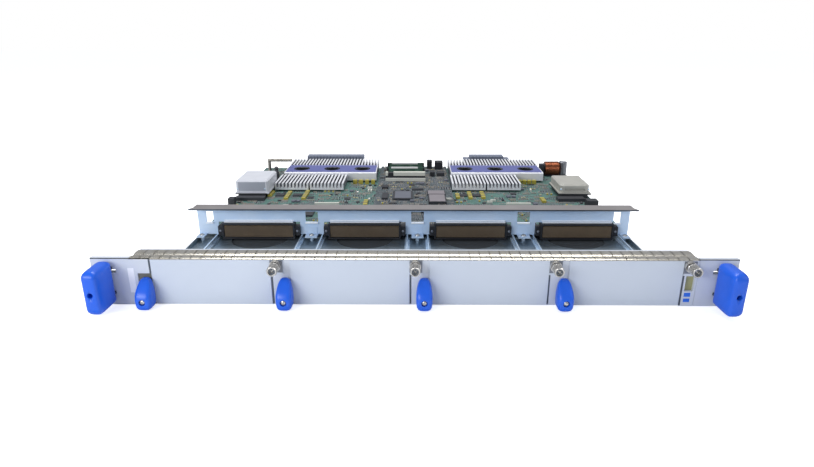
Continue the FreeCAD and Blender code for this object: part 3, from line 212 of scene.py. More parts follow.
def powder_coat(name, colour, shade):
    """Satin powder coat: even colour, orange peel about 0.7 mm across, faint handling marks."""
    material, tree, shader, place = start_material(name, Roughness=0.42, Specular_IOR_Level=0.4)
    drift(tree, shader, place, colour, shade, 60, 3)
    peel = add(tree, "ShaderNodeTexNoise", {"Vector": place, "Scale": per_mm(0.7), "Detail": 1})
    bump = add(tree, "ShaderNodeBump", {"Height": peel.outputs[0], "Strength": 0.12, "Distance": 0.0001})
    tree.links.new(bump.outputs[0], shader.inputs["Normal"])
    return material


def zinc_plate(name, colour, shade, rolling=(1, 0.02, 1), roughness=0.34, metallic=0.85):
    """Zinc plated sheet: rolling lines 0.5 mm apart and cloudy patches about 30 mm across."""
    material, tree, shader, place = start_material(name, Metallic=metallic)
    drift(tree, shader, place, colour, shade, 30, 4)
    stretch = add(tree, "ShaderNodeMapping", {"Vector": place, "Scale": rolling})
    lines = add(tree, "ShaderNodeTexNoise", {"Vector": stretch.outputs[0], "Scale": per_mm(0.5), "Detail": 2})
    rough = add(tree, "ShaderNodeMapRange", {"Value": lines.outputs[0], "From Min": 0.3, "From Max": 0.7,
                                             "To Min": roughness - 0.08, "To Max": roughness + 0.12})
    tree.links.new(rough.outputs[0], shader.inputs["Roughness"])
    bump = add(tree, "ShaderNodeBump", {"Height": lines.outputs[0], "Strength": 0.15, "Distance": 0.0001})
    tree.links.new(bump.outputs[0], shader.inputs["Normal"])
    return material


def extruded_aluminium(name, colour, shade, gap_shade, roughness=0.36):
    """Extruded aluminium: die lines along the fins, pale tops, and flanks darkened as painted shade of the
    gaps.
    """
    material = zinc_plate(name, colour, shade, rolling=(1, 0.03, 1), roughness=roughness, metallic=0.2)
    tree = material.node_tree
    shader = next(node for node in tree.nodes if node.type == "BSDF_PRINCIPLED")
    tops = shader.inputs["Base Color"].links[0].from_socket
    # Faces turned across the card, the flanks of the fins, take the darker colour: painted shade of the
    # narrow gaps between fins.
    facing = add(tree, "ShaderNodeTexCoord")
    parts = add(tree, "ShaderNodeSeparateXYZ", {"Vector": facing.outputs["Normal"]})
    aside = add(tree, "ShaderNodeMath", {0: parts.outputs[0]}, operation="ABSOLUTE")
    amount = add(tree, "ShaderNodeMapRange", {"Value": aside.outputs[0], "From Min": 0.4, "From Max": 0.8})
    tint = add(tree, "ShaderNodeMix", {"Factor": amount.outputs[0], 6: tops, 7: linear(gap_shade)},
               data_type="RGBA")
    tree.links.new(tint.outputs[2], shader.inputs["Base Color"])
    return material


# %% [markdown]
# The sheet metal is plated soft steel. In bright, even light its zinc reads as a pale blue, so the sheets
# that face the light keep a low metallic value and the shaded ones a high one. Two darker copies, shaded
# recess and shaded steel, are painted shade for sheet in gaps, recesses and shadow; the rivets share the
# recess grey.

# %% Metals of this card
frame_paint = powder_coat("powder coated frame", "#D6DBE3", "#CAD0D9")
blank_paint = powder_coat("powder coated blanks", "#D0D8E3", "#C6CEDA")
sheet_zinc = zinc_plate("zinc plated sheet", "#DDEBFA", "#BCD8F6", metallic=0.08)
tray_zinc = zinc_plate("dull zinc plated tray", "#9FACB4", "#86939B", roughness=0.42)
bright_zinc = zinc_plate("bright zinc plate", "#E4F0FB", "#BFD6EA", roughness=0.24, metallic=0.5)
flange_steel = zinc_plate("bare steel flange", "#A29D9B", "#878281", rolling=(0.02, 1, 1), roughness=0.45,
                          metallic=0.5)
# Painted shade: darker copies of the zinc for recesses, gaps and parts in shadow.
slot_grey = zinc_plate("shaded recess", "#8C9099", "#70747C", roughness=0.45, metallic=0.5)
shaded_zinc = zinc_plate("shaded steel", "#6E747C", "#4E545C", roughness=0.4)
nickel = zinc_plate("nickel plated steel", "#D8D6D2", "#B9B6B1", rolling=(1, 1, 1), roughness=0.22)
stainless = zinc_plate("stainless sheet", "#B4B8BC", "#9A9EA2", roughness=0.3)
# The third colour is the painted shade on the fin flanks.
fin_metal = extruded_aluminium("extruded aluminium fins", "#F4F4F6", "#E2E3E8", "#6F717C")

# %% [markdown]
# Beryllium copper spring strip is bright with a faint gold cast, polished by rolling. It picks up dark
# and light streaks from whatever is round it, so its roughness is low and varies along the strip.

# %% Spring strip


def spring_copper():
    """Rolled strip: a faint gold cast, and a roughness that changes in patches about 9 mm across."""
    material, tree, shader, place = start_material("beryllium copper", Metallic=1.0)
    patches = drift(tree, shader, place, "#F4F0E6", "#C2B9A4", 9, 3)
    rough = add(tree, "ShaderNodeMapRange", {"Value": patches.outputs[0], "To Min": 0.14, "To Max": 0.34})
    tree.links.new(rough.outputs[0], shader.inputs["Roughness"])
    return material


spring_metal = spring_copper()

# %% [markdown]
# Moulded plastic takes its texture from the tool. The blue levers and grips are nylon with a fine
# spark-eroded texture; connector bodies are a duller glass-filled resin.

# %% Plastics


def moulded(name, colour, shade, roughness, grain_mm=0.25, depth=0.00002, coat=0.0):
    """Moulded resin: a slight colour drift and a fine tool texture."""
    material, tree, shader, place = start_material(name, Coat_Weight=coat, Coat_Roughness=0.25)
    drift(tree, shader, place, colour, shade, 14, 3)
    grain = add(tree, "ShaderNodeTexNoise", {"Vector": place, "Scale": per_mm(grain_mm), "Detail": 2})
    rough = add(tree, "ShaderNodeMapRange", {"Value": grain.outputs[0], "To Min": roughness - 0.06,
                                             "To Max": roughness + 0.08})
    tree.links.new(rough.outputs[0], shader.inputs["Roughness"])
    bump = add(tree, "ShaderNodeBump", {"Height": grain.outputs[0], "Strength": 0.3, "Distance": depth})
    tree.links.new(bump.outputs[0], shader.inputs["Normal"])
    return material


blue_nylon = moulded("blue nylon", "#0F63E6", "#0C59D6", 0.36, coat=0.15)
black_resin = moulded("glass filled black resin", "#1C1D22", "#26272C", 0.5)
brown_resin = moulded("brown contact resin", "#8A775F", "#726250", 0.5)
dark_brown = moulded("dark brown resin", "#4A4038", "#3D352F", 0.55)
post_grey = moulded("grey post resin", "#55565A", "#46474B", 0.5)
package_epoxy = moulded("package epoxy", "#2B2C30", "#36373C", 0.55, grain_mm=0.15)
grey_package = moulded("grey ceramic package", "#6B6E78", "#5C5F69", 0.5)
pink_grey = moulded("pinkish grey lid", "#8F888C", "#7E777B", 0.42)
ivory_resin = moulded("ivory resin", "#D9D9CE", "#C8C8BC", 0.5)
yellow_epoxy = moulded("yellow epoxy", "#BDB048", "#9E9238", 0.45)
tan_ceramic = moulded("tan ceramic", "#9C8A6A", "#857353", 0.5)
white_resin_and_highlight = moulded("white resin and painted highlight", "#E9E9E6", "#DADAD6", 0.45)
label_stock = moulded("label stock", "#F7F8FB", "#EEF1F5", 0.6)
label_blue = moulded("blue label ink", "#2F74E6", "#2A6CDD", 0.6)
black_foam_and_shade = moulded("black foam strip and painted shade", "#17181A", "#242527", 0.85, grain_mm=0.6, depth=0.0001)
grey_resin = moulded("grey plug resin", "#7E8494", "#6C7282", 0.5)
olive_grey = moulded("dull olive recess", "#7C7B6E", "#64635A", 0.6)
olive_board = moulded("olive board edge", "#A9A77C", "#8E8C64", 0.6)

# %% [markdown]
# A circuit board's solder mask is a thin glossy coat over copper. Where copper runs under it the mask
# looks lighter, so traces show as pale lines: here a brick pattern gives runs and a fine cell pattern
# gives vias. The mask is drawn 1.6 mm to a trace, coarser than life, so that it shows at all.

# %% Solder mask


def solder_mask(name, bare, trace, via):
    """Solder mask: bare ground, runs of traces where areas of noise allow them, and dots for vias."""
    material, tree, shader, place = start_material(name, Roughness=0.55, Specular_IOR_Level=0.3)
    wander = add(tree, "ShaderNodeTexNoise", {"Vector": place, "Scale": per_mm(22), "Detail": 2})
    warp = add(tree, "ShaderNodeMix", {"Factor": 0.004, 4: place, 5: wander.outputs[1]}, data_type="VECTOR")
    runs = add(tree, "ShaderNodeTexBrick", {"Vector": warp.outputs[1], "Scale": per_mm(7),
                                            "Mortar Size": 0.05, "Mortar Smooth": 0.1,
                                            "Brick Width": 3.2, "Row Height": 0.24})
    cells = add(tree, "ShaderNodeTexVoronoi", {"Vector": place, "Scale": per_mm(2.6), "Randomness": 0.55})
    dots = add(tree, "ShaderNodeMapRange", {"Value": cells.outputs["Distance"], "From Min": 0.16,
                                            "From Max": 0.2, "To Min": 1.0, "To Max": 0.0})
    areas = add(tree, "ShaderNodeMapRange", {"Value": wander.outputs[0], "From Min": 0.47, "From Max": 0.56})
    shown = add(tree, "ShaderNodeMath", {0: runs.outputs["Fac"], 1: areas.outputs[0]}, operation="MULTIPLY")
    ground = add(tree, "ShaderNodeMix", {"Factor": shown.outputs[0], 6: linear(bare), 7: linear(trace)},
                 data_type="RGBA")
    spot = add(tree, "ShaderNodeMix", {"Factor": dots.outputs[0], 6: ground.outputs[2], 7: linear(via)},
               data_type="RGBA")
    tree.links.new(spot.outputs[2], shader.inputs["Base Color"])
    bump = add(tree, "ShaderNodeBump", {"Height": shown.outputs[0], "Strength": 0.1, "Distance": 0.00003})
    tree.links.new(bump.outputs[0], shader.inputs["Normal"])
    return material


green_mask = solder_mask("green solder mask", "#4F7069", "#5F827A", "#93AAA0")
dark_mask = solder_mask("dark solder mask", "#4A5356", "#626C6F", "#A0A8AA")
memory_mask = solder_mask("memory solder mask", "#3E5A4C", "#527062", "#A8A98A")

# %% [markdown]
# Enamelled copper wire on the choke is red-brown and glossy; the sheet metal cans are drawn or bead
# blasted aluminium, which scatters light evenly.

# %% Copper and blasted cans
copper_wire = zinc_plate("enamelled copper wire", "#9A5A3A", "#6E3B26", rolling=(1, 1, 1), roughness=0.3)
white_can = moulded("bead blasted cover", "#DADBE0", "#CBCDD4", 0.42, grain_mm=0.5, depth=0.00005)
pressed_can = moulded("pressed panel", "#A9ADB6", "#9CA0AA", 0.5, grain_mm=0.5, depth=0.00005)
beige_can = moulded("beige blasted cover", "#B9B7AE", "#A6A49B", 0.42, grain_mm=0.5, depth=0.00005)
grey_can = zinc_plate("drawn aluminium can", "#85878C", "#6E7075", rolling=(1, 1, 1), roughness=0.35)
tinned_rod = zinc_plate("tinned rod", "#A5A198", "#8B877F", rolling=(1, 1, 1), roughness=0.35)

# %% [markdown]
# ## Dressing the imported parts
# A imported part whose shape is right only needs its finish, given through its material slots. Parts that
# a detailed piece replaces further on are left out.

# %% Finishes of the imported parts
FINISHES = {
    frame_paint: ["front_frame"],
    blank_paint: [f"blank_panel_{bay}" for bay in BAYS],
    tray_zinc: ["tray"],
    sheet_zinc: ["bulkhead"],
    bright_zinc: ["guide_rails", "standoffs"],
    nickel: ["screw_ferrules", "left_grip_screw", "right_grip_screw"],
    # the brackets and arms take the shaded zinc, a painted shade of the plated steel
    shaded_zinc: ["ejector_brackets", "left_ejector_arm", "right_ejector_arm"],
    stainless: ["ejector_pins"] + [f"retaining_ring_{bay}" for bay in BAYS],
    black_resin: [f"module_connector_{bay}" for bay in BAYS],
    green_mask: ["main_board"],
    dark_mask: ["mezzanine_board"],
    memory_mask: ["memory_modules"],
    fin_metal: [f"front_heat_sink_{bay}" for bay in BAYS] + [f"rear_heat_sink_{side}" for side in SIDES],
    package_epoxy: ["heat_sink_chips", "board_chips", "mezzanine_chips"],
    ivory_resin: ["board_sockets"],
    yellow_epoxy: ["tantalum_capacitors"],
    beige_can: ["power_module_right"],
    grey_resin: [f"backplane_connector_{side}" for side in SIDES],
    copper_wire: ["choke_coil"],
}
for finish_of, names in FINISHES.items():
    for name in names:
        slots = nodes[name].material_slots
        if not slots:
            nodes[name].data.materials.append(finish_of)
        for place in slots:
            place.material = finish_of
print("finished", sum(len(names) for names in FINISHES.values()), "parts")

# %% [markdown]
# ## Spring fingers
# The strip is stamped into fingers and curled. One finger is a small grid bent over an arch, repeated
# along the card, then given its thickness.

# %% Finger gaskets
FINGER_GAP, FLAT_END, CURL = 0.8 * MM, 0.95, 0.55


def finger_row(shape, start, depth, count, left, pitch, low, rise):
    """One row of curled fingers whose tops reach low + rise."""
    wide = pitch - FINGER_GAP
    made = bmesh.ops.create_grid(shape, x_segments=2, y_segments=10, size=0.5)["verts"]
    for vert in made:
        along = vert.co.y + 0.5
        arch = math.sin(math.pi * min(1, along * 1.05)) ** CURL if 0 < along < FLAT_END else 0
        vert.co = Vector((left + (vert.co.x + 0.5) * wide, start + along * depth, low + rise * arch))
    first = list({face for vert in made for face in vert.link_faces})
    for index in range(1, count):
        twin = bmesh.ops.duplicate(shape, geom=first + list(made))
        verts = [item for item in twin["geom"] if isinstance(item, bmesh.types.BMVert)]
        bmesh.ops.translate(shape, verts=verts, vec=(index * pitch, 0, 0))


strip_low, strip_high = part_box("gasket_strips")
FINGER_PITCH, FRONT_DEPTH, ROW_GAP, STRIP_METAL = 10 * MM, 9.5 * MM, 1.5 * MM, 0.2 * MM
finger_count = round((strip_high.x - strip_low.x) / FINGER_PITCH)
rear_start = strip_low.y + FRONT_DEPTH + ROW_GAP
fingers = bmesh.new()
for start, depth in ((strip_low.y, FRONT_DEPTH), (rear_start, strip_high.y - rear_start)):
    finger_row(fingers, start, depth, finger_count, strip_low.x, FINGER_PITCH,
               strip_low.z + STRIP_METAL, strip_high.z - strip_low.z - 2 * STRIP_METAL)
bmesh.ops.solidify(fingers, geom=fingers.faces, thickness=STRIP_METAL)
block(fingers, strip_low, (strip_high.x, strip_high.y, strip_low.z + STRIP_METAL))
finger_piece = finish("finger_gaskets", fingers, spring_metal, crease=50)
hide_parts("gasket_strips")
print("fingers:", 2 * finger_count)

# %% [markdown]
# ## Module levers
# The lever is a moulded drop: narrow where it meets the panel at the top, fullest at the screw. It is
# drawn as rounded sections, each extruded from the one below, and the screw seat is cut afterwards.

# %% Levers
lever_low, lever_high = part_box("module_lever_1")
lever_middle = (lever_low.x + lever_high.x) / 2
PIVOT_RISE = 9.3 * MM
pivot_z = lever_low.z + PIVOT_RISE
# height above the foot, half width, front and back distance from the face, all in millimetres
LEVER_SECTIONS = [(0.0, 3.4, 14.5, 3.4), (0.5, 5.0, 16.3, 2.2), (1.6, 6.4, 17.8, 1.3), (3.6, 7.4, 18.7, 1.0),
                  (7.0, 7.9, 19.0, 1.0), (11.0, 8.0, 18.9, 1.0), (15.0, 7.9, 18.0, 1.0),
                  (19.0, 7.4, 15.2, 1.0), (23.0, 6.5, 11.4, 1.0), (26.0, 5.5, 8.4, 1.0),
                  (28.0, 4.2, 6.4, 1.0), (29.0, 2.6, 4.6, 1.4)]
SECTION_SIDES = 32


def oval_form(middle, foot, sections, squash):
    """A closed moulding of squarish oval sections, each extruded from the one below."""
    shape = bmesh.new()

    def place(ring, section):
        rise, half, ahead, behind = section
        for index, vert in enumerate(ring):
            turn = math.tau * index / SECTION_SIDES
            across = math.copysign(abs(math.cos(turn)) ** squash, math.cos(turn))
            along = math.copysign(abs(math.sin(turn)) ** squash, math.sin(turn))
            y = (ahead + behind) / 2 + (ahead - behind) / 2 * along
            vert.co = Vector((middle + half * MM * across, face_y - y * MM, foot + rise * MM))

    ring = bmesh.ops.create_circle(shape, cap_ends=True, segments=SECTION_SIDES, radius=1)["verts"]
    place(ring, sections[0])
    edges = list(shape.edges)
    for section in sections[1:]:
        grown = bmesh.ops.extrude_edge_only(shape, edges=edges)["geom"]
        edges = [item for item in grown if isinstance(item, bmesh.types.BMEdge)]
        place([item for item in grown if isinstance(item, bmesh.types.BMVert)], section)
    bmesh.ops.contextual_create(shape, geom=edges)
    return shape


lever_shape = oval_form(lever_middle, lever_low.z, LEVER_SECTIONS, 0.5)
hub_start = (lever_middle, face_y - 1.2 * MM, pivot_z)
bar(lever_shape, hub_start, "Y", 3.9 * MM, 7.7 * MM, sides=32)
lever_1 = finish("lever_drop_1", lever_shape, blue_nylon, "lever_1", crease=40)

# %% [markdown]
# A hole is cut with a tool: a second bmesh that an exact boolean takes out of the piece. The result is
# kept in the piece's own mesh, so no modifier stays on it. The first hole is the seat of the screw.

# %% Screw seat of the lever


def carve(piece, cutter):
    """Cut a bmesh tool out of a piece and keep the result in its mesh."""
    bmesh.ops.recalc_face_normals(cutter, faces=cutter.faces)
    tool_mesh = bpy.data.meshes.new("cutter")
    cutter.to_mesh(tool_mesh)
    cutter.free()
    tool = place_object("cutter", tool_mesh)
    step = piece.modifiers.new("carve", "BOOLEAN")
    step.object = tool
    step.solver = "EXACT"
    view = bpy.context.evaluated_depsgraph_get()
    result = bpy.data.meshes.new_from_object(piece.evaluated_get(view))
    piece.modifiers.clear()
    old, piece.data = piece.data, result
    bpy.data.meshes.remove(old)
    bpy.data.objects.remove(tool)


seat = bmesh.new()
bar(seat, (lever_middle, face_y - 21 * MM, pivot_z), "Y", 3.1 * MM, 4.8 * MM, sides=32)
carve(lever_1, seat)
print("lever faces:", len(lever_1.data.polygons))

# %% [markdown]
# Behind the panel the lever's hub carries a small cam that pushes on the module. The lever is copied
# to its three other bays, one bay pitch apart, and each copy rides on its own body.

# %% Lever copies
lever_x = [sum(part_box(f"module_lever_{bay}")[end].x for end in (0, 1)) / 2 for bay in BAYS]
cam_shape = bmesh.new()
block(cam_shape, (lever_middle - 2.5 * MM, face_y + 4.9 * MM, pivot_z),
      (lever_middle + 2.5 * MM, lever_high.y, pivot_z + 9 * MM), 0.4 * MM)
cam_1 = finish("lever_cam_1", cam_shape, blue_nylon, "lever_1")


def copy_piece(piece, name, move, body):
    """A second piece of the same make, moved in its mesh and riding on another body."""
    mesh = piece.data.copy()
    mesh.transform(Matrix.Translation(move))
    twin = place_object(name, mesh)
    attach(twin, body)
    return twin


for bay in BAYS[1:]:
    across = (lever_x[bay - 1] - lever_x[0], 0, 0)
    drop = copy_piece(lever_1, f"lever_drop_{bay}", across, f"lever_{bay}")
    copy_piece(cam_1, f"lever_cam_{bay}", across, f"lever_{bay}")
    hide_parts(f"module_lever_{bay}")
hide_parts("module_lever_1")
print("levers at", [round(x / MM, 1) for x in lever_x])

# %% [markdown]
# ## Ejector grips
# The grips at the ends are hollow mouldings with full, round ends that suit a hand. They are built of
# sections like the levers, then slotted for the bracket's lugs and the arm and bored for pin and screw.

# %% Ejector grips


def rounding(depth, radius):
    """How far a rounded corner draws in at a depth under the end, in millimetres."""
    return radius - math.sqrt(radius ** 2 - (radius - depth) ** 2) if depth < radius else 0.0


PIVOT_REACH, BARREL_RADIUS = 8, 7.4
# how far above its foot and below its top a grip has sections, and where in between
END_RISES, MIDDLE_RISES = (0, 0.4, 1.2, 2.5, 4.3, 6.5, 9), (14, 22, 30)
# bottom, top and depth of the slots for the bracket's lower lug, the arm and the upper lug
GRIP_SLOTS = ((11.7, 14.8, 14.1), (34.15, 37.25, 22.4), (37.2, 40.3, 14.1))
# start in front of the face, height, axis, radius and length of the pin's bore and the screw's two
GRIP_BORES = ((8, 5.95, "Z", 2.05, 40.1), (37, 26, "Y", 2.62, 17.5), (20, 26, "Y", 1.85, 22))


def grip(side, sign):
    """A grip with a barrel round its pivot, so that it clears the panel as it swings."""
    low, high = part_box(f"{side}_ejector_grip")
    middle, tall = (low.x + high.x) / 2, (high.z - low.z) / MM
    ahead, behind = (face_y - low.y) / MM, (face_y - high.y) / MM
    sections = []
    for rise in (*END_RISES, *MIDDLE_RISES, *(tall - rise for rise in reversed(END_RISES))):
        down = tall - rise
        sections.append((rise, 7.5 - rounding(rise, 6.5) - rounding(down, 6),
                         ahead - rounding(rise, 9) - rounding(down, 7),
                         behind + rounding(rise, 5) + rounding(down, 8)))
    shape, pivot = oval_form(middle, low.z, sections, 0.38), Vector((middle, face_y - PIVOT_REACH * MM))
    for vert in shape.verts:
        arm = vert.co.xy - pivot
        if arm.y > 0 and arm.length > BARREL_RADIUS * MM:
            vert.co.xy = pivot + arm.normalized() * BARREL_RADIUS * MM
    piece = finish(f"{side}_grip_moulding", shape, blue_nylon, f"{side}_ejector", crease=50)
    left, right = sorted((middle - sign * 5.7 * MM, middle + sign * 16 * MM))
    for bottom, top, deep in GRIP_SLOTS:
        slot = bmesh.new()
        block(slot, (left, face_y - deep * MM, bottom * MM), (right, face_y + 9 * MM, top * MM))
        carve(piece, slot)
    for reach, height, axis, radius, length in GRIP_BORES:
        bore = bmesh.new()
        bar(bore, (middle, face_y - reach * MM, height * MM), axis, radius * MM, length * MM, sides=32)
        carve(piece, bore)
    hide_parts(f"{side}_ejector_grip")


grip("left", -1)
grip("right", 1)

# %% [markdown]
# ## Cross-head screws
# Most screws on the card have a domed head with a cross recess. The dome is a spun profile, and the
# recess is a plus-shaped prism that is cut out of it, as a punch does in a heading machine.

# %% Screw tools


def cross(shape, centre, axis, reach, wide, depth):
    """A plus-shaped prism for a recess, as deep on each side of its centre as depth says."""
    half, outline = wide / 2, []
    for quarter in range(4):
        turn = Matrix.Rotation(math.radians(90 * quarter + 45), 3, "Z")
        outline += [turn @ Vector(spot) for spot in ((reach, -half, 0), (reach, half, 0), (half, half, 0))]
    place = Matrix.Translation(centre) @ TURN[axis]
    low = [shape.verts.new(place @ (spot + Vector((0, 0, -depth)))) for spot in outline]
    high = [shape.verts.new(place @ (spot + Vector((0, 0, depth)))) for spot in outline]
    shape.faces.new(low)
    shape.faces.new(high)
    for index in range(len(outline)):
        after = (index + 1) % len(outline)
        shape.faces.new((low[index], low[after], high[after], high[index]))


def spun(shape, centre, axis, profile, sides=32):
    """Spin a profile of (radius, distance along the axis) about a line through a centre."""
    turn = Matrix.Translation(centre) @ TURN[axis]
    points = [shape.verts.new(turn @ Vector((radius, 0, along))) for radius, along in profile]
    edges = [shape.edges.new(pair) for pair in zip(points, points[1:])]
    line = TURN[axis].to_3x3() @ Vector((0, 0, 1))
    bmesh.ops.spin(shape, geom=points + edges, cent=centre, axis=line, angle=math.tau, steps=sides,
                   use_merge=True)
    bmesh.ops.remove_doubles(shape, verts=shape.verts, dist=1e-6)


def washer(shape, centre, axis, inner, outer, low, high, sides=32):
    """A ring between two radii and two distances along the axis, in millimetres."""
    profile = [(inner, low), (outer, low), (outer, high), (inner, high), (inner, low)]
    spun(shape, centre, axis, [(radius * MM, along * MM) for radius, along in profile], sides)


def dome(shape, centre, axis, radius, rise, sign=-1, sides=24):
    """A domed head whose flat seat lies at the centre and whose top stands off along the axis."""
    steps = 5
    arc = [(radius * math.cos(math.pi / 2 * step / steps), sign * rise * math.sin(math.pi / 2 * step / steps))
           for step in range(steps + 1)]
    arc[-1] = (0, sign * rise)
    spun(shape, centre, axis, [(0, 0)] + arc, sides)


# %% [markdown]
# The lever screws are shoulder screws: a domed head in the lever's seat, a shank through its hub and
# a nut behind the panel.

# %% Lever screws
HEAD_RISE, HEAD_RADIUS, SHANK_RADIUS, NUT_DEPTH = 1.7 * MM, 2.8 * MM, 1.5 * MM, 1.5 * MM
screw_low, screw_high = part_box("lever_screws")
head_shape, shank_shape, recess = bmesh.new(), bmesh.new(), bmesh.new()
for x in lever_x:
    head = Vector((x, screw_low.y + HEAD_RISE, pivot_z))
    dome(head_shape, head, "Y", HEAD_RADIUS, HEAD_RISE)
    bar(shank_shape, head, "Y", SHANK_RADIUS, screw_high.y - head.y, 16)
    bar(shank_shape, (x, screw_high.y - NUT_DEPTH, pivot_z), "Y", HEAD_RADIUS, NUT_DEPTH, 6)
    cross(recess, head - Vector((0, HEAD_RISE, 0)), "Y", 1.6 * MM, 0.6 * MM, 0.9 * MM)
screw_heads = finish("lever_cross_heads", head_shape, nickel)
carve(screw_heads, recess)
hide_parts("lever_screws")
finish("lever_screw_shanks", shank_shape, nickel)

# %% [markdown]
# ## Captive thumbscrews
# The knurl is straight: forty-four fine ridges along the head, so that fingers can grip it. They are drawn
# by pulling every second line of the spun head inwards. The recess in the face is deep, and the dark disc at
# its bottom is painted shade.

# %% Thumbscrews
KNURLS, KNURL_DEPTH, MOUTH_DEPTH = 44, 0.42, 1.4
# radius and distance from the face of each point of the screw's outline
SCREW_OUTLINE = [(0, MOUTH_DEPTH), (3.2, MOUTH_DEPTH), (3.5, 0.15), (3.9, 0), (4.5, 0), (4.95, 0.5),
                 (4.95, 9.6), (4.4, 10.1), (4.4, 10.9), (4.8, 11.3), (4.8, 11.7), (4.5, 12), (2, 12),
                 (2, 27), (0, 27)]


def thumbscrew(bay):
    """A knurled head and shank, and a disc of painted shade in its mouth, both cut by the same cross."""
    low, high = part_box(f"thumbscrew_{bay}")
    centre = Vector(((low.x + high.x) / 2, low.y, (low.z + high.z) / 2))
    shape, disc = bmesh.new(), bmesh.new()
    spun(shape, centre, "Y", [(r * MM, y * MM) for r, y in SCREW_OUTLINE], sides=KNURLS * 2)
    for vert in shape.verts:
        across = Vector((vert.co.x - centre.x, 0, vert.co.z - centre.z))
        line = round(math.atan2(across.z, across.x) / math.tau * KNURLS * 2)
        if across.length >= 4.9 * MM and line % 2:
            vert.co -= across.normalized() * KNURL_DEPTH * MM
    head = finish(f"knurled_screw_{bay}", shape, nickel, f"screw_{bay}", crease=24)
    # The dark disc at the bottom of the mouth is painted shade.
    washer(disc, centre + Vector((0, (MOUTH_DEPTH - 0.02) * MM, 0)), "Y", 0, 3.15, 0, 0.02)
    face = finish(f"screw_mouth_shade_{bay}", disc, shaded_zinc, f"screw_{bay}")
    for piece in (head, face):
        hollow = bmesh.new()
        cross(hollow, centre + Vector((0, MOUTH_DEPTH * MM, 0)), "Y", 2.5 * MM, 1.0 * MM, 2.2 * MM)
        carve(piece, hollow)
    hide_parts(f"thumbscrew_{bay}")
    return centre


screw_spots = [thumbscrew(bay) for bay in BAYS]
print("thumbscrews at", [round(spot.x / MM, 1) for spot in screw_spots])

# %% [markdown]
# ## Small things on the faceplate
# The left ear carries a plain white label strip; the right end has a pale board edge behind its window
# and two plain blue patches under it. A thin black foam strip lines the top edge of each ear.

# %% Faceplate trim


def plate(name, low, high, material, bevel=0.0):
    """One bevelled block in frame millimetres as a piece of its own."""
    shape = bmesh.new()
    slab(shape, low, high, bevel)
    return finish(name, shape, material)


SKIN = 0.12
plate("left_ear_label", (-277.5, FACE - SKIN, 13), (-271.5, FACE, 39), label_stock)
for step, (low, high) in enumerate(((4.5, 8.2), (10.2, 14.4))):
    plate(f"right_blue_patch_{step}", (264.2, FACE - SKIN, low), (270.4, FACE, high), label_blue)
plate("window_backing", (263, FACE + 3.1, 13), (275, FACE + 3.9, 35), olive_board)
for side, start, end in (("left", -312.4, -255.4), ("right", 272.6, 312.4)):
    plate(f"{side}_edge_foam", (start, FACE - 0.1, 48.5), (end, FACE, 49.45), black_foam_and_shade)
plate("left_gap_shadow", (-256.4, FACE - 0.08, 33.4), (-254.9, FACE, 48.4), shaded_zinc)
plate("notch_floor", (-268.1, FACE + 1.3, 0.6), (-255.6, FACE + 1.49, 33.2), olive_grey)

# %% [markdown]
# Between two blanks the panel steps back. The strip there is bare zinc, drawn darker as painted shade of the
# step: a grey patch behind each thumbscrew with a hole for its ferrule, and a narrow dark slot down the side
# of the blank, a strip of painted shadow in the gap.

# %% Divider strips
for bay, spot in zip(BAYS, screw_spots):
    edge = spot.x / MM - 5.6
    # the last strip has no step behind it, so it lies on the frame itself
    patch_y, slot_y = ((0.28, 0.4), (1.38, 1.49)) if bay < BAYS[-1] else ((-SKIN, 0), (-SKIN, 0))
    patch = plate(f"screw_patch_{bay}", (edge + 0.2, FACE + patch_y[0], 34.6),
                  (edge + 12.4, FACE + patch_y[1], 47.4), slot_grey)
    hole = bmesh.new()
    bar(hole, (spot.x, face_y - 2 * MM, spot.z), "Y", 5.6 * MM, 4 * MM, 40)
    carve(patch, hole)
    # A dark strip of painted shadow in the slit beside the blank.
    plate(f"divider_gap_shadow_{bay}", (edge + 0.3, FACE + slot_y[0], 0.9),
          (edge + 1.9, FACE + slot_y[1], 32.3), shaded_zinc)

# %% [markdown]
# ## Piles of small blocks
# A connector or a board has hundreds of tiny blocks. Operators slow down as one bmesh grows, so each
# size is made once as a bmesh block and its points are copied to plain lists, which become one mesh.

# %% Piles


class Pile:
    """The points and faces of many small blocks."""

    def __init__(self):
        self.verts, self.faces = [], []


templates = {}


def stack(pile, low, high, bevel=0.0):
    """Add a block between two corners in millimetres to a pile, from a template of its size."""
    size = tuple(round(b - a, 3) for a, b in zip(low, high))
    if (size, bevel) not in templates:
        unit = bmesh.new()
        block(unit, (0, 0, 0), Vector(size) * MM, bevel * MM)
        unit.verts.index_update()
        templates[size, bevel] = ([vert.co.copy() for vert in unit.verts],
                                  [[vert.index for vert in face.verts] for face in unit.faces])
        unit.free()
    verts, faces = templates[size, bevel]
    first, start = len(pile.verts), Vector(low) * MM
    pile.verts += [vert + start for vert in verts]
    pile.faces += [[first + index for index in face] for face in faces]


def finish_pile(name, pile, material):
    """Turn a pile into a finished piece."""
    mesh = bpy.data.meshes.new(name)
    mesh.from_pydata(pile.verts, [], pile.faces)
    shape = bmesh.new()
    shape.from_mesh(mesh)
    bpy.data.meshes.remove(mesh)
    return finish(name, shape, material)


# %% [markdown]
# ## Module connectors
# A high-density receptacle is a dark tongue with a narrow rib of brown resin at each contact and the end
# of a gold leaf above it; on the board side, a pressed lead comes out at every second contact.

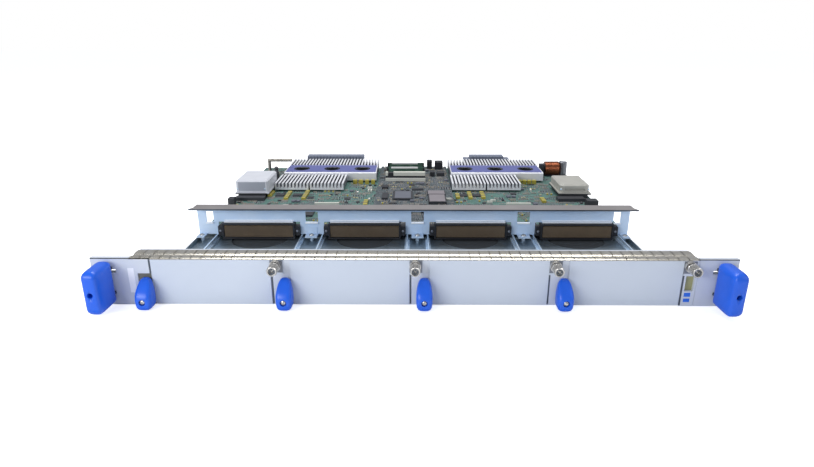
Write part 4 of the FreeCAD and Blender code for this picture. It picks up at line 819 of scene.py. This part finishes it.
# %% Connector contacts
gold = zinc_plate("gold flashed contacts", "#E2B65A", "#C79A3E", rolling=(1, 1, 1), roughness=0.25)
tongues, ribs, leaves, leads = Pile(), Pile(), Pile(), Pile()
CONTACTS, END_WALL, LEAD_WIDTH = 68, 8.5, 0.4
for bay in BAYS:
    low, high = box_mm(f"module_connector_{bay}")
    left, right = low.x + END_WALL, high.x - END_WALL
    stack(tongues, (left, low.y + 2, low.z + 2.4), (right, low.y + 6.9, high.z - 2.4))
    pitch = (right - left) / CONTACTS
    for index in range(CONTACTS):
        x = left + (index + 0.5) * pitch
        start, end = x - LEAD_WIDTH / 2, x + LEAD_WIDTH / 2
        stack(ribs, (x - 0.32, low.y + 1.0, low.z + 2.6), (x + 0.32, low.y + 2, high.z - 3.6))
        stack(leaves, (start, low.y + 1.2, high.z - 3.3), (end, low.y + 2, high.z - 3.0))
        if index % 2 == 0:
            stack(leads, (start, high.y, 12.2), (end, high.y + 3.0, 12.5))
            stack(leads, (start, high.y + 2.6, 11), (end, high.y + 3.0, 12.2))
tongue_piece = finish_pile("connector_tongues", tongues, dark_brown)
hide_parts("connector_inserts")
finish_pile("connector_ribs", ribs, brown_resin)
finish_pile("connector_leaves", leaves, gold)
finish_pile("connector_leads", leads, bright_zinc)

# %% [markdown]
# ## Screws and rivets of the sheet metal
# The bulkhead is screwed down through its feet and the boards to their posts; the connectors and the
# tray's floor are riveted. They are one dome shape at several sizes, each group joined in one piece.

# %% Fasteners
heads, sockets_cut = bmesh.new(), bmesh.new()


def screw_head(x, y, z, radius):
    """A domed cross-head screw that stands on a surface at (x, y, z) in frame millimetres."""
    spot, rise = Vector((x, y, z)) * MM, radius * 0.55 * MM
    dome(heads, spot, "Z", radius * MM, rise, sign=1, sides=20)
    cross(sockets_cut, spot + Vector((0, 0, rise)), "Z", rise, radius * 0.2 * MM, radius * 0.3 * MM)


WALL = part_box("bulkhead")[0].y / MM
wall_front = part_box("bulkhead")[1].y / MM - 1.5
INNER_FEET, OUTER_FEET, FOOT_REACH, FOOT_TOP = (-129.25, 5.75, 140.75), (-269.3, 269.3), 7.5, 8.5
POST_SPREAD, POST_START, POST_DEPTH = 526, TRAY_FRONT + 195.5 + 30, 547 - 195.5 - 42
for places, radius in ((INNER_FEET, 3.4), (OUTER_FEET, 3.0)):
    for x in places:
        screw_head(x, wall_front - FOOT_REACH, FOOT_TOP, radius)
for column in range(4):
    for row in range(3):
        screw_head(POST_SPREAD * (column / 3 - 0.5), POST_START + POST_DEPTH * row / 2, BOARD, 2.6)
for x in (-51, 55.5):
    for y in (-63.5, 269.5):
        screw_head(x, y, MEZZANINE, 2.2)
screw_piece = finish("cross_head_screws", heads, nickel)
carve(screw_piece, sockets_cut)

rivets = bmesh.new()
RIVET_ROWS, RIVET_X, FLOOR_TOP = (-230, -180, -130, -20, 40, 110, 180, 240), 270.5, 1.5
for bay in BAYS:
    low, high = box_mm(f"module_connector_{bay}")
    for x in (low.x + 3, high.x - 3):
        dome(rivets, Vector((x, low.y + 2, 13.2)) * MM, "Y", 1.7 * MM, 0.8 * MM)
for y in RIVET_ROWS:
    for x in (-RIVET_X, RIVET_X):
        dome(rivets, Vector((x, y, FLOOR_TOP)) * MM, "Z", 1.6 * MM, 0.7 * MM, sign=1, sides=16)
finish("rivets", rivets, slot_grey)

# %% [markdown]
# ## Bright edges of the bulkhead
# Bent lips catch the light. Each gets a thin near-white skin of painted highlight on the edge that the
# imported part already has.

# %% Bulkhead lips
# The near-white skin on the lips is painted highlight.
lip_highlight = zinc_plate("painted highlight on lips", "#FCFDFF", "#F2F8FE", roughness=0.3, metallic=0.0)
lips = bmesh.new()
# half width, start and end in front of the wall, bottom and top of the skins over each window
WINDOW_SKINS = ((44, 4.1, 0, 25.15, 25.4), (44, 4.2, 4.0, 23.75, 25.4), (44.5, 0.2, 0, 25.4, 26.4))
# start and end in front of the wall, bottom and top of the skins over each foot
FOOT_SKINS = ((3.1, 0, 23.5, 23.65), (3.2, 3.0, 22.1, 23.65))
window_x = [sum(corner.x for corner in box_mm(f"module_connector_{bay}")) / 2 for bay in BAYS]
skins = [(x, skin) for x in window_x for skin in WINDOW_SKINS]
skins += [(x, (half, *skin)) for half, places in ((8, INNER_FEET), (4.5, (-259.5, 259.5)))
          for x in places for skin in FOOT_SKINS]
for x, (half, near, far, bottom, top) in skins:
    slab(lips, (x - half, wall_front - near, bottom), (x + half, wall_front - far, top))
finish("bulkhead_lip_highlights", lips, lip_highlight)
flange = bmesh.new()
FLANGE_OUTLINE = [(-275, wall_front + 1.4), (-275, WALL + 8), (-278.6, WALL + 0.1),
                  (278.6, WALL + 0.1), (275, WALL + 8), (275, wall_front + 1.4)]
top_face = flange.faces.new([flange.verts.new(Vector((x, y, 46.0)) * MM) for x, y in FLANGE_OUTLINE])
grown = bmesh.ops.extrude_face_region(flange, geom=[top_face])["geom"]
bmesh.ops.translate(flange, verts=[item for item in grown if isinstance(item, bmesh.types.BMVert)],
                    vec=(0, 0, 0.12 * MM))
finish("bulkhead_flange_skin", flange, flange_steel)
# Along the flange's front edge, a strip of shaded zinc is painted shade.
plate("bulkhead_flange_edge", (-278.4, WALL - 0.12, 44.4), (278.4, WALL, 46.1), shaded_zinc)

# %% [markdown]
# ## Landings of the rear heat sinks
# The flat front of each rear sink carries a violet heat-spreading film with three holes for the
# spring screws, which stand at the bottom of their wells. The black floor and lining of each well, and the
# black ring round each hole on the film, are painted shade.

# %% Sink landings


def hoop(shape, centre, axis, radius, wire, sides=28):
    """A closed ring of round wire about an axis, spun from a small circle."""
    arc = [math.tau * step / 8 for step in range(8)]
    profile = [(radius + wire * math.cos(a), wire * math.sin(a)) for a in arc]
    spun(shape, Vector(centre), axis, profile + profile[:1], sides)


violet_film = moulded("violet film", "#656AA6", "#545A96", 0.4, grain_mm=1.2, depth=0.00003)
LANDING_TOP, FILM_THICKNESS, WELL_FLOOR, WELL_PITCH = 28.0, 0.2, 18.1, 52
SPRING_TURNS, SPRING_RISE = 4, 1.2
for side in SIDES:
    low, high = box_mm(f"rear_heat_sink_{side}")
    middle, film_top = (low.x + high.x) / 2, LANDING_TOP + FILM_THICKNESS
    film = plate(f"{side}_sink_film", (low.x + 1.5, low.y + 2.5, LANDING_TOP),
                 (high.x - 1.5, low.y + 52.5, film_top), violet_film)
    hollow, wells, well_shade = bmesh.new(), bmesh.new(), bmesh.new()
    for index in (-1, 0, 1):
        spot = Vector((middle + WELL_PITCH * index, low.y + 27, WELL_FLOOR)) * MM
        bar(hollow, spot, "Z", 11.2 * MM, 20 * MM, 48)
        bar(wells, spot, "Z", 2.4 * MM, 5 * MM, 24)
        dome(wells, spot + Vector((0, 0, 5 * MM)), "Z", 3.6 * MM, 1.8 * MM, sign=1, sides=24)
        for turn in range(SPRING_TURNS):
            hoop(wells, spot + Vector((0, 0, (0.7 + SPRING_RISE * turn) * MM)), "Z", 3.6 * MM, 0.45 * MM)
        # Black floor, ring and lining: painted shade of the well and round its hole.
        washer(well_shade, spot, "Z", 3, 10.9, 0, 0.5)
        washer(well_shade, Vector((spot.x, spot.y, film_top * MM)), "Z", 11.15, 13.4, 0, 0.25, sides=48)
        washer(well_shade, spot, "Z", 10.55, 10.95, 0.6, 9.6)
    carve(film, hollow)
    # The spring screws take the shaded zinc, painted shade at the bottom of the wells.
    finish(f"{side}_sink_spring_screws", wells, shaded_zinc)
    finish(f"{side}_sink_well_shade", well_shade, black_foam_and_shade)

# %% [markdown]
# ## Upright memory cards
# Two memory cards stand on edge at the back of the mezzanine, each with a white latch strip on its upper
# edge. A tall ivory socket in two lengths stands in front of them, and two tall black relays beside them.

# %% Upright memory cards
MEMORY_Y = (430 + TRAY_FRONT, 466 + TRAY_FRONT, 500 + TRAY_FRONT)
SOCKET_TOP = MEZZANINE + 5.3
cards, tall_strips, tall_ivory, tall_dark = bmesh.new(), bmesh.new(), bmesh.new(), bmesh.new()
y, ivory_foot = MEMORY_Y[0], MEZZANINE + 9
for left, right in ((-45, -41), (-32, 21)):
    slab(tall_ivory, (left, y + 1, ivory_foot), (right, y + 8, MEZZANINE + 15.4), 0.4)
slab(tall_dark, (-45, y + 1.4, SOCKET_TOP), (21, y + 7.6, ivory_foot))
slab(tall_dark, (-40.5, y + 1, ivory_foot), (-32.5, y + 8, MEZZANINE + 14.6), 0.4)
for y in MEMORY_Y[1:]:
    slab(cards, (-44, y + 4, SOCKET_TOP), (20, y + 5.4, MEZZANINE + 14.8))
    slab(tall_strips, (-37, y + 2.6, MEZZANINE + 12.6), (9, y + 5.6, MEZZANINE + 15.2), 0.3)
    for left in (-44.5, 17.5):
        slab(tall_dark, (left, y + 2.8, SOCKET_TOP), (left + 3, y + 6.6, MEZZANINE + 13.8), 0.3)
for left, right, front, back, high in ((26, 35, 254, 267, 15), (40, 54, 250, 266, 13.6)):
    slab(tall_dark, (left, front, MEZZANINE), (right, back, MEZZANINE + high), 0.5)
finish("upright_memory_cards", cards, memory_mask)
finish("upright_latch_strips", tall_strips, white_resin_and_highlight)
finish("tall_ivory_socket", tall_ivory, ivory_resin)
finish("tall_black_parts", tall_dark, black_resin)

# %% [markdown]
# ## Small parts of the boards
# A board is full of chip capacitors, resistors and small packages, set in rows and blocks round the
# large parts. Each kind is a few blocks in the right materials, and each material has one pile that all
# the kinds share. The commonest kind is a body with a soldered cap at each end.

# %% Two-ended parts
random.seed(4763)
solder = zinc_plate("dull solder", "#B4B6BA", "#94969B", rolling=(1, 1, 1), roughness=0.55, metallic=0.5)
STOCK = {"tan": (tan_ceramic, "capacitor_yellow"), "black": (package_epoxy, "chip_black"),
         "solder": (solder, "bright_steel"), "ivory": (ivory_resin, "socket_ivory"),
         "yellow": (yellow_epoxy, "capacitor_yellow"), "grey": (grey_package, "plug_grey")}
piles = {name: Pile() for name in STOCK}


def brick(pile, x, y, z, wide, deep, high, bevel=0.0):
    """A block that stands on z with its middle at (x, y), in millimetres, added to one pile."""
    stack(piles[pile], (x - wide / 2, y - deep / 2, z), (x + wide / 2, y + deep / 2, z + high), bevel)


def chip_part(along, across, high, pile):
    """The maker of one kind of two-ended chip part: a body with a soldered cap at each end."""

    def make(x, y, z, turned):
        wide, deep = (across, along) if turned else (along, across)
        body, cap = ((1, 0.6), (1, 0.22)) if turned else ((0.6, 1), (0.22, 1))
        brick(pile, x, y, z, wide * body[0], deep * body[1], high)
        for side in (-0.4, 0.4):
            shift = (0, side * deep) if turned else (side * wide, 0)
            brick("solder", x + shift[0], y + shift[1], z, wide * cap[0], deep * cap[1], high * 1.04)

    return make


# %% [markdown]
# Larger kinds are a black or grey body with its leads as small blocks of solder beside it. Each is drawn
# by a function of its own, called with the same four values, so that one table can hold them all.

# %% Packages, inductor and header


def gull_wing(x, y, z, turned):
    """A small package with leads along two sides."""
    wide, deep = (4, 5.2) if turned else (5.2, 4)
    brick("black", x, y, z + 0.15, wide, deep, 1.4, 0.12)
    for index in range(4):
        for side in (-1, 1):
            step = (index - 1.5) * 1.2
            if turned:
                brick("solder", x + side * (wide / 2 + 0.45), y + step, z, 0.9, 0.45, 0.35)
            else:
                brick("solder", x + step, y + side * (deep / 2 + 0.45), z, 0.45, 0.9, 0.35)


def inductor(x, y, z, _turned):
    """A moulded power inductor on one wide strip of solder."""
    brick("grey", x, y, z, 6.2, 6.2, 3.0, 0.5)
    brick("solder", x, y, z, 6.6, 2.0, 0.5)


def quad_pack(x, y, z, _turned):
    """A square package with leads all round."""
    brick("black", x, y, z + 0.2, 9, 9, 1.4, 0.2)
    for index in range(11):
        step = (index - 5) * 0.8
        for side in (-1, 1):
            brick("solder", x + step, y + side * 5.1, z, 0.35, 1.2, 0.35)
            brick("solder", x + side * 5.1, y + step, z, 1.2, 0.35, 0.35)


def header(x, y, z, turned):
    """A low ivory header."""
    brick("ivory", x, y, z, *((2.4, 8) if turned else (8, 2.4)), 3.4, 0.2)


# each kind: its maker, its reach in x and y, and how often it comes up
KINDS = [(chip_part(2.0, 1.2, 0.9, "tan"), 2.6, 1.8, 30), (chip_part(2.0, 1.2, 0.5, "black"), 2.6, 1.8, 26),
         (chip_part(3.4, 1.7, 0.7, "black"), 4.0, 2.4, 10), (chip_part(4.4, 2.8, 2.0, "yellow"), 5.2, 3.6, 8),
         (gull_wing, 6.0, 7.2, 9), (inductor, 7.2, 7.0, 3), (quad_pack, 12.5, 12.5, 4),
         (header, 9.0, 3.2, 2)]

# %% [markdown]
# Parts come in blocks of one kind with an even pitch. The board is divided into 1 mm squares, and a ray
# from above tells which of them nothing covers, so no part is set into a heat sink or under a socket. A
# part is only laid where its squares are free, and it then takes them.

# %% Laying the small parts
bpy.context.view_layer.update()
sight = bpy.context.evaluated_depsgraph_get()


def free_squares(board, z):
    """The 1 mm squares of a board that nothing covers, seen from above all parts."""
    low, high = box_mm(board)
    free = set()
    for x in range(math.ceil(low.x) + 1, math.floor(high.x) - 1):
        for y in range(math.ceil(low.y) + 1, math.floor(high.y) - 1):
            start = Vector((x + 0.5, y + 0.5, 60)) * MM
            hit, spot, *_ = bpy.context.scene.ray_cast(sight, start, (0, 0, -1))
            if hit and abs(spot.z / MM - z) < 0.05:
                free.add((x, y))
    return free


def lay(board, tries):
    """Lay blocks of parts on a board, as many as its free squares take."""
    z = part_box(board)[1].z / MM
    free = free_squares(board, z)
    spots, laid = sorted(free), 0
    for _ in range(tries):
        make, reach_x, reach_y, _ = random.choices(KINDS, weights=[kind[3] for kind in KINDS])[0]
        small = reach_x * reach_y < 12
        turned = random.random() < 0.5
        if turned:
            reach_x, reach_y = reach_y, reach_x
        wide, deep = math.ceil(reach_x), math.ceil(reach_y)
        columns, rows = (random.randint(1, 6), random.randint(1, 4)) if small else (random.randint(1, 2), 1)
        x, y = random.choice(spots)
        for column in range(columns):
            for row in range(rows):
                left, low = x + column * wide, y + row * deep
                needed = {(left + i, low + j) for i in range(wide) for j in range(deep)}
                if needed <= free:
                    free -= needed
                    make(left + wide / 2, low + deep / 2, z, turned)
                    laid += 1
    return laid


print("small parts:", lay("main_board", 1500), "+", lay("mezzanine_board", 800))
for name, (material, slot_name) in STOCK.items():
    finish_pile(f"board_parts_{name}", piles[name], material)

# %% [markdown]
# ## Lying memory cards and their sockets
# The lying memory cards get their chips and gold edge. Each has a long socket, the front one ivory and
# the others black, with two white strips of painted highlight along its top.

# %% Memory
memory_chips, socket_highlights, edge_gold = bmesh.new(), bmesh.new(), bmesh.new()
socket_dark, socket_pale = bmesh.new(), bmesh.new()
for y in MEMORY_Y:
    socket = socket_pale if y == MEMORY_Y[0] else socket_dark
    slab(socket, (-45.3, y - 0.3, MEZZANINE), (21.3, y + 9.2, SOCKET_TOP), 0.3)
    # Two white strips along the socket's top are painted highlight.
    for start, end, high in ((0.6, 2.2, 0.4), (7.4, 8.6, 0.3)):
        slab(socket_highlights, (-44, y + start, SOCKET_TOP), (20, y + end, SOCKET_TOP + high), 0.1)
    for x in range(-36, 24, 12):
        slab(memory_chips, (x - 4.5, y + 12, MEZZANINE + 3.7), (x + 4.5, y + 25, MEZZANINE + 4.8), 0.15)
    slab(edge_gold, (-41, y + 9.2, MEZZANINE + 3.65), (17, y + 10.8, MEZZANINE + 3.75))
finish("memory_chips", memory_chips, package_epoxy)
finish("memory_sockets", socket_dark, black_resin)
finish("front_memory_socket", socket_pale, ivory_resin)
finish("memory_socket_highlights", socket_highlights, white_resin_and_highlight)
finish("memory_edge", edge_gold, gold)

# %% [markdown]
# The yellow blocks on the main board are rows of tantalum capacitors, side by side. Dark bands of mask
# between them and a paler polarity stripe on each turn every block into a row. Three packages of the
# mezzanine get a lid of another colour.

# %% Capacitor rows and package lids
bands, stripes, lids, dark_lids = Pile(), Pile(), Pile(), Pile()
# middle, start behind the tray's front edge and length of each row
CAPACITORS = [(-221, 351, 24), (-193, 333, 40), (-166, 333, 46), (-70, 300, 26),
              (69, 340, 22), (88, 338, 34), (108, 340, 34), (196, 320, 20)]
# middle, start, width, depth and top of the two packages with pinkish lids
LIDDED = ((36, 340, 28, 22, 18.6), (36, 296, 26, 40, 19.6))
LID_INSET = 1.5
for x, start, length in CAPACITORS:
    count = max(2, round(length / 8))
    for index in range(count):
        y = start + TRAY_FRONT + index * length / count
        if index:
            stack(bands, (x - 3.1, y - 0.8, 11), (x + 3.1, y + 0.8, 14.5))
        stack(stripes, (x - 2.8, y + 1.4, 14.4), (x + 2.8, y + 2.2, 14.45))
finish_pile("capacitor_bands", bands, dark_mask)
finish_pile("capacitor_stripes", stripes, tan_ceramic)
for x, start, wide, deep, top in LIDDED:
    y, half = start + TRAY_FRONT, wide / 2 - LID_INSET
    stack(lids, (x - half, y + LID_INSET, top), (x + half, y + deep - LID_INSET, top + 0.5), 0.2)
stack(dark_lids, (-27, 54, 18.6), (-3, 92, 18.9), 0.1)
finish_pile("package_lids", lids, pink_grey)
finish_pile("dark_package_lid", dark_lids, grey_package)

# %% [markdown]
# ## Power parts
# The choke is a core with thick wire wound round it. Each turn is a closed hoop, a small circle spun
# about the core's axis; the can beside it has a rolled rim.

# %% Choke and can
coil_low, coil_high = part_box("choke_coil")
centre = (coil_low + coil_high) / 2
coil_radius = (coil_high.z - coil_low.z) / 2
WINDING_TURNS, WIRE_RADIUS, WIRE_PITCH = 11, 0.95 * MM, 2.15 * MM
winding = bmesh.new()
for index in range(WINDING_TURNS):
    hoop(winding, (coil_low.x + 1.2 * MM + index * WIRE_PITCH, centre.y, centre.z), "X",
         coil_radius - 0.5 * MM, WIRE_RADIUS, sides=40)
finish("choke_winding", winding, copper_wire)
choke_base = bmesh.new()
block(choke_base, (coil_low.x + 1 * MM, centre.y - 8 * MM, board_top),
      (coil_high.x - 1 * MM, centre.y + 8 * MM, board_top + 2.5 * MM), 0.4 * MM)
finish("choke_base", choke_base, black_resin)
can_low, can_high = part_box("filter_can")
can_middle = (can_low + can_high) / 2
can_shape = bmesh.new()
radius = (can_high.x - can_low.x) / 2 / MM
height = (can_high.z - can_low.z) / MM
outline = [(0, 0), (radius - 0.4, 0), (radius, 0.6), (radius, 2.2), (radius - 0.6, 2.8), (radius, 3.4),
           (radius, height - 0.8), (radius - 0.8, height), (radius - 1.6, height - 0.5), (0, height - 0.5)]
spun(can_shape, Vector((can_middle.x, can_middle.y, can_low.z)), "Z",
     [(r * MM, z * MM) for r, z in outline], 48)
can_piece = finish("rolled_can", can_shape, grey_can)
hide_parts("filter_can")

# %% [markdown]
# The power modules stand on a black base, and two small screws show on the front of each. The left cover
# is drawn with its crown: a bevelled block over a wider foot, with a duller pressed panel in its front.

# %% Power modules
cover = bmesh.new()
low, high = box_mm("power_module_left")
COVER_TOP, PANEL_FRONT = high.z + 3.6, low.y + 1.1
slab(cover, (low.x + 1.2, low.y + 1.2, low.z + 1), (high.x + 1.6, high.y - 1, COVER_TOP), 2.2)
slab(cover, low, (high.x + 1.9, high.y, low.z + 3), 0.4)
cover_piece = finish("blasted_cover", cover, white_can)
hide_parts("power_module_left")
plate("cover_panel", (low.x + 5, PANEL_FRONT, low.z + 5), (high.x - 2.5, PANEL_FRONT + 0.2, COVER_TOP - 3.2),
      pressed_can)
module_screws = bmesh.new()
for side, seat in zip(SIDES, (1.2, 2.0)):
    low, high = box_mm(f"power_module_{side}")
    for x in (low.x + 3.4, high.x - 3.4):
        dome(module_screws, Vector((x, low.y + seat, low.z + 8)) * MM, "Y", 1.5 * MM, 0.7 * MM)
    plate(f"{side}_module_band", (low.x - 0.15, low.y - 0.15, low.z - 0.1),
          (high.x + 0.15, high.y + 0.15, low.z + 1.4), black_resin, 0.1)
finish("module_screws", module_screws, bright_zinc)

# %% [markdown]
# Behind the left module a thick earthing rod stands up and turns over the heat sink. It is a sleeved
# bar with a round elbow, and a tapered post with a round top stands beside it.

# %% Earthing rod


def ball(shape, centre, radius):
    """A round end or elbow."""
    bmesh.ops.create_uvsphere(shape, u_segments=24, v_segments=12, radius=radius,
                              matrix=Matrix.Translation(centre))


SLEEVE = 2.7 * MM
rod_low, rod_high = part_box("earth_rod")
sleeve, post = bmesh.new(), bmesh.new()
elbow = Vector((rod_low.x + SLEEVE, (rod_low.y + rod_high.y) / 2, rod_high.z - SLEEVE + 0.4 * MM))
bar(sleeve, (elbow.x, elbow.y, board_top), "Z", SLEEVE, elbow.z - board_top, 24)
bar(sleeve, elbow, "X", SLEEVE, rod_high.x - elbow.x, 24)
ball(sleeve, elbow, SLEEVE)
rod_piece = finish("sleeved_rod", sleeve, tinned_rod)
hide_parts("earth_rod")
post_foot = Vector((elbow.x + 15 * MM, elbow.y - 16 * MM, board_top))
bar(post, post_foot, "Z", 5.5 * MM, 18 * MM, 24, tip=2.6 * MM)
ball(post, post_foot + Vector((0, 0, 19 * MM)), 3.4 * MM)
finish("rod_post", post, post_grey)

# %% [markdown]
# ## Backplane plugs
# Each plug is a stack of wafers, and its mating face is a field of square contact holes.

# %% Contact holes of the plugs
cells = Pile()
HOLE_PITCH, HOLE_ROWS = 2.6, 7
for side, left, right in (("left", -194, -90), ("right", 105, 167)):
    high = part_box(f"backplane_connector_{side}")[1] / MM
    for column in range(int((right - left - 4) / HOLE_PITCH)):
        for row in range(HOLE_ROWS):
            x, z = left + 2.8 + column * HOLE_PITCH, 13.4 + row * HOLE_PITCH
            stack(cells, (x, high.y - 0.05, z), (x + 1.3, high.y, z + 1.2))
finish_pile("plug_contact_holes", cells, black_resin)

# %% [markdown]
# ## Camera and light
# The eye is in front and above, with the whole faceplate and the board in view. The key light stands low
# on the left and gives the blanks their cool, bright side; a broad light above shows the boards, and a
# weak one fills in from the right. The floor is white and keeps only a soft shadow.

# %% Stage
LENS_MM, PITCH_DOWN, TURN_LEFT = 26.09, 19.42, 0.42
camera_data = bpy.data.cameras.new("view")
camera_data.sensor_width = 36
camera_data.lens = LENS_MM
camera_data.clip_start = 0.01
camera = place_object("view", camera_data)
camera.location = (-2.46 * MM, -790.9 * MM, 260.5 * MM)
camera.rotation_euler = (math.radians(90 - PITCH_DOWN), 0, math.radians(TURN_LEFT))
bpy.context.scene.camera = camera


def area_light(name, spot, aim, size, watts, colour):
    """A rectangular lamp at a spot, turned to the place it lights."""
    data = bpy.data.lights.new(name, "AREA")
    data.shape = "RECTANGLE"
    data.size, data.size_y = size
    data.energy = watts
    data.color = linear(colour)[:3]
    lamp = place_object(name, data)
    lamp.location = spot
    lamp.rotation_euler = (Vector(aim) - Vector(spot)).to_track_quat("-Z", "Y").to_euler()


area_light("key", (-0.75, -1.15, 0.46), (-0.05, -0.2, 0.02), (0.8, 0.4), 7.6, "#F7FAFF")
area_light("top", (0.0, 0.35, 1.3), (0, 0.05, 0), (1.3, 0.5), 15, "#FFFFFF")
area_light("fill", (1.1, -0.8, 0.7), (0.1, -0.2, 0), (0.7, 0.7), 1.5, "#F4F6FF")

world = bpy.data.worlds.new("studio")
world.use_nodes = True
tree = world.node_tree
tree.nodes.clear()
path = add(tree, "ShaderNodeLightPath")
strength = add(tree, "ShaderNodeMapRange", {"Value": path.outputs["Is Camera Ray"], "To Min": 0.42,
                                            "To Max": 1.0})
tint = add(tree, "ShaderNodeMix", {"Factor": path.outputs["Is Camera Ray"], 6: linear("#EFF4FF"),
                                   7: linear("#FFFFFF")}, data_type="RGBA")
sky = add(tree, "ShaderNodeBackground", {"Color": tint.outputs[2], "Strength": strength.outputs[0]})
add(tree, "ShaderNodeOutputWorld", {"Surface": sky.outputs[0]})
bpy.context.scene.world = world

# %% [markdown]
# The floor is a matt white that glows a little only where the eye sees it, so it reads as a white
# sweep without lighting the card from below. Under the tray's cut-outs a dark sheet stands for the
# shade that the card throws there.

# %% Floor
FLOOR_GLOW = 0.66
floor_material, tree, shader, _ = start_material("white floor", Roughness=0.9)
shader.inputs["Base Color"].default_value = linear("#F4F4F4")
seen = add(tree, "ShaderNodeLightPath")
glow = add(tree, "ShaderNodeEmission", {"Color": linear("#FFFFFF")})
output = next(node for node in tree.nodes if node.type == "OUTPUT_MATERIAL")
amount = add(tree, "ShaderNodeMath", {0: seen.outputs["Is Camera Ray"], 1: FLOOR_GLOW}, operation="MULTIPLY")
tree.links.new(amount.outputs[0], glow.inputs["Strength"])
both = add(tree, "ShaderNodeAddShader", {0: shader.outputs[0], 1: glow.outputs[0]})
tree.links.new(both.outputs[0], output.inputs["Surface"])
floor_shape = bmesh.new()
bmesh.ops.create_grid(floor_shape, x_segments=1, y_segments=1, size=6)
floor = place_object("floor", as_mesh("floor", floor_shape, floor_material))
floor.location.z = -0.2 * MM
shade_shape = bmesh.new()
block(shade_shape, (card_low.x + 2 * MM, card_low.y + 2 * MM, -0.15 * MM),
      (card_high.x - 2 * MM, card_high.y - 2 * MM, -0.02 * MM))
shade_material, _, shader, _ = start_material("floor in the card's shade", Roughness=0.95)
shader.inputs["Base Color"].default_value = linear("#4A4E50")
shade = place_object("floor_shade", as_mesh("floor_shade", shade_shape, shade_material))
bpy.context.scene.view_settings.view_transform = "Standard"
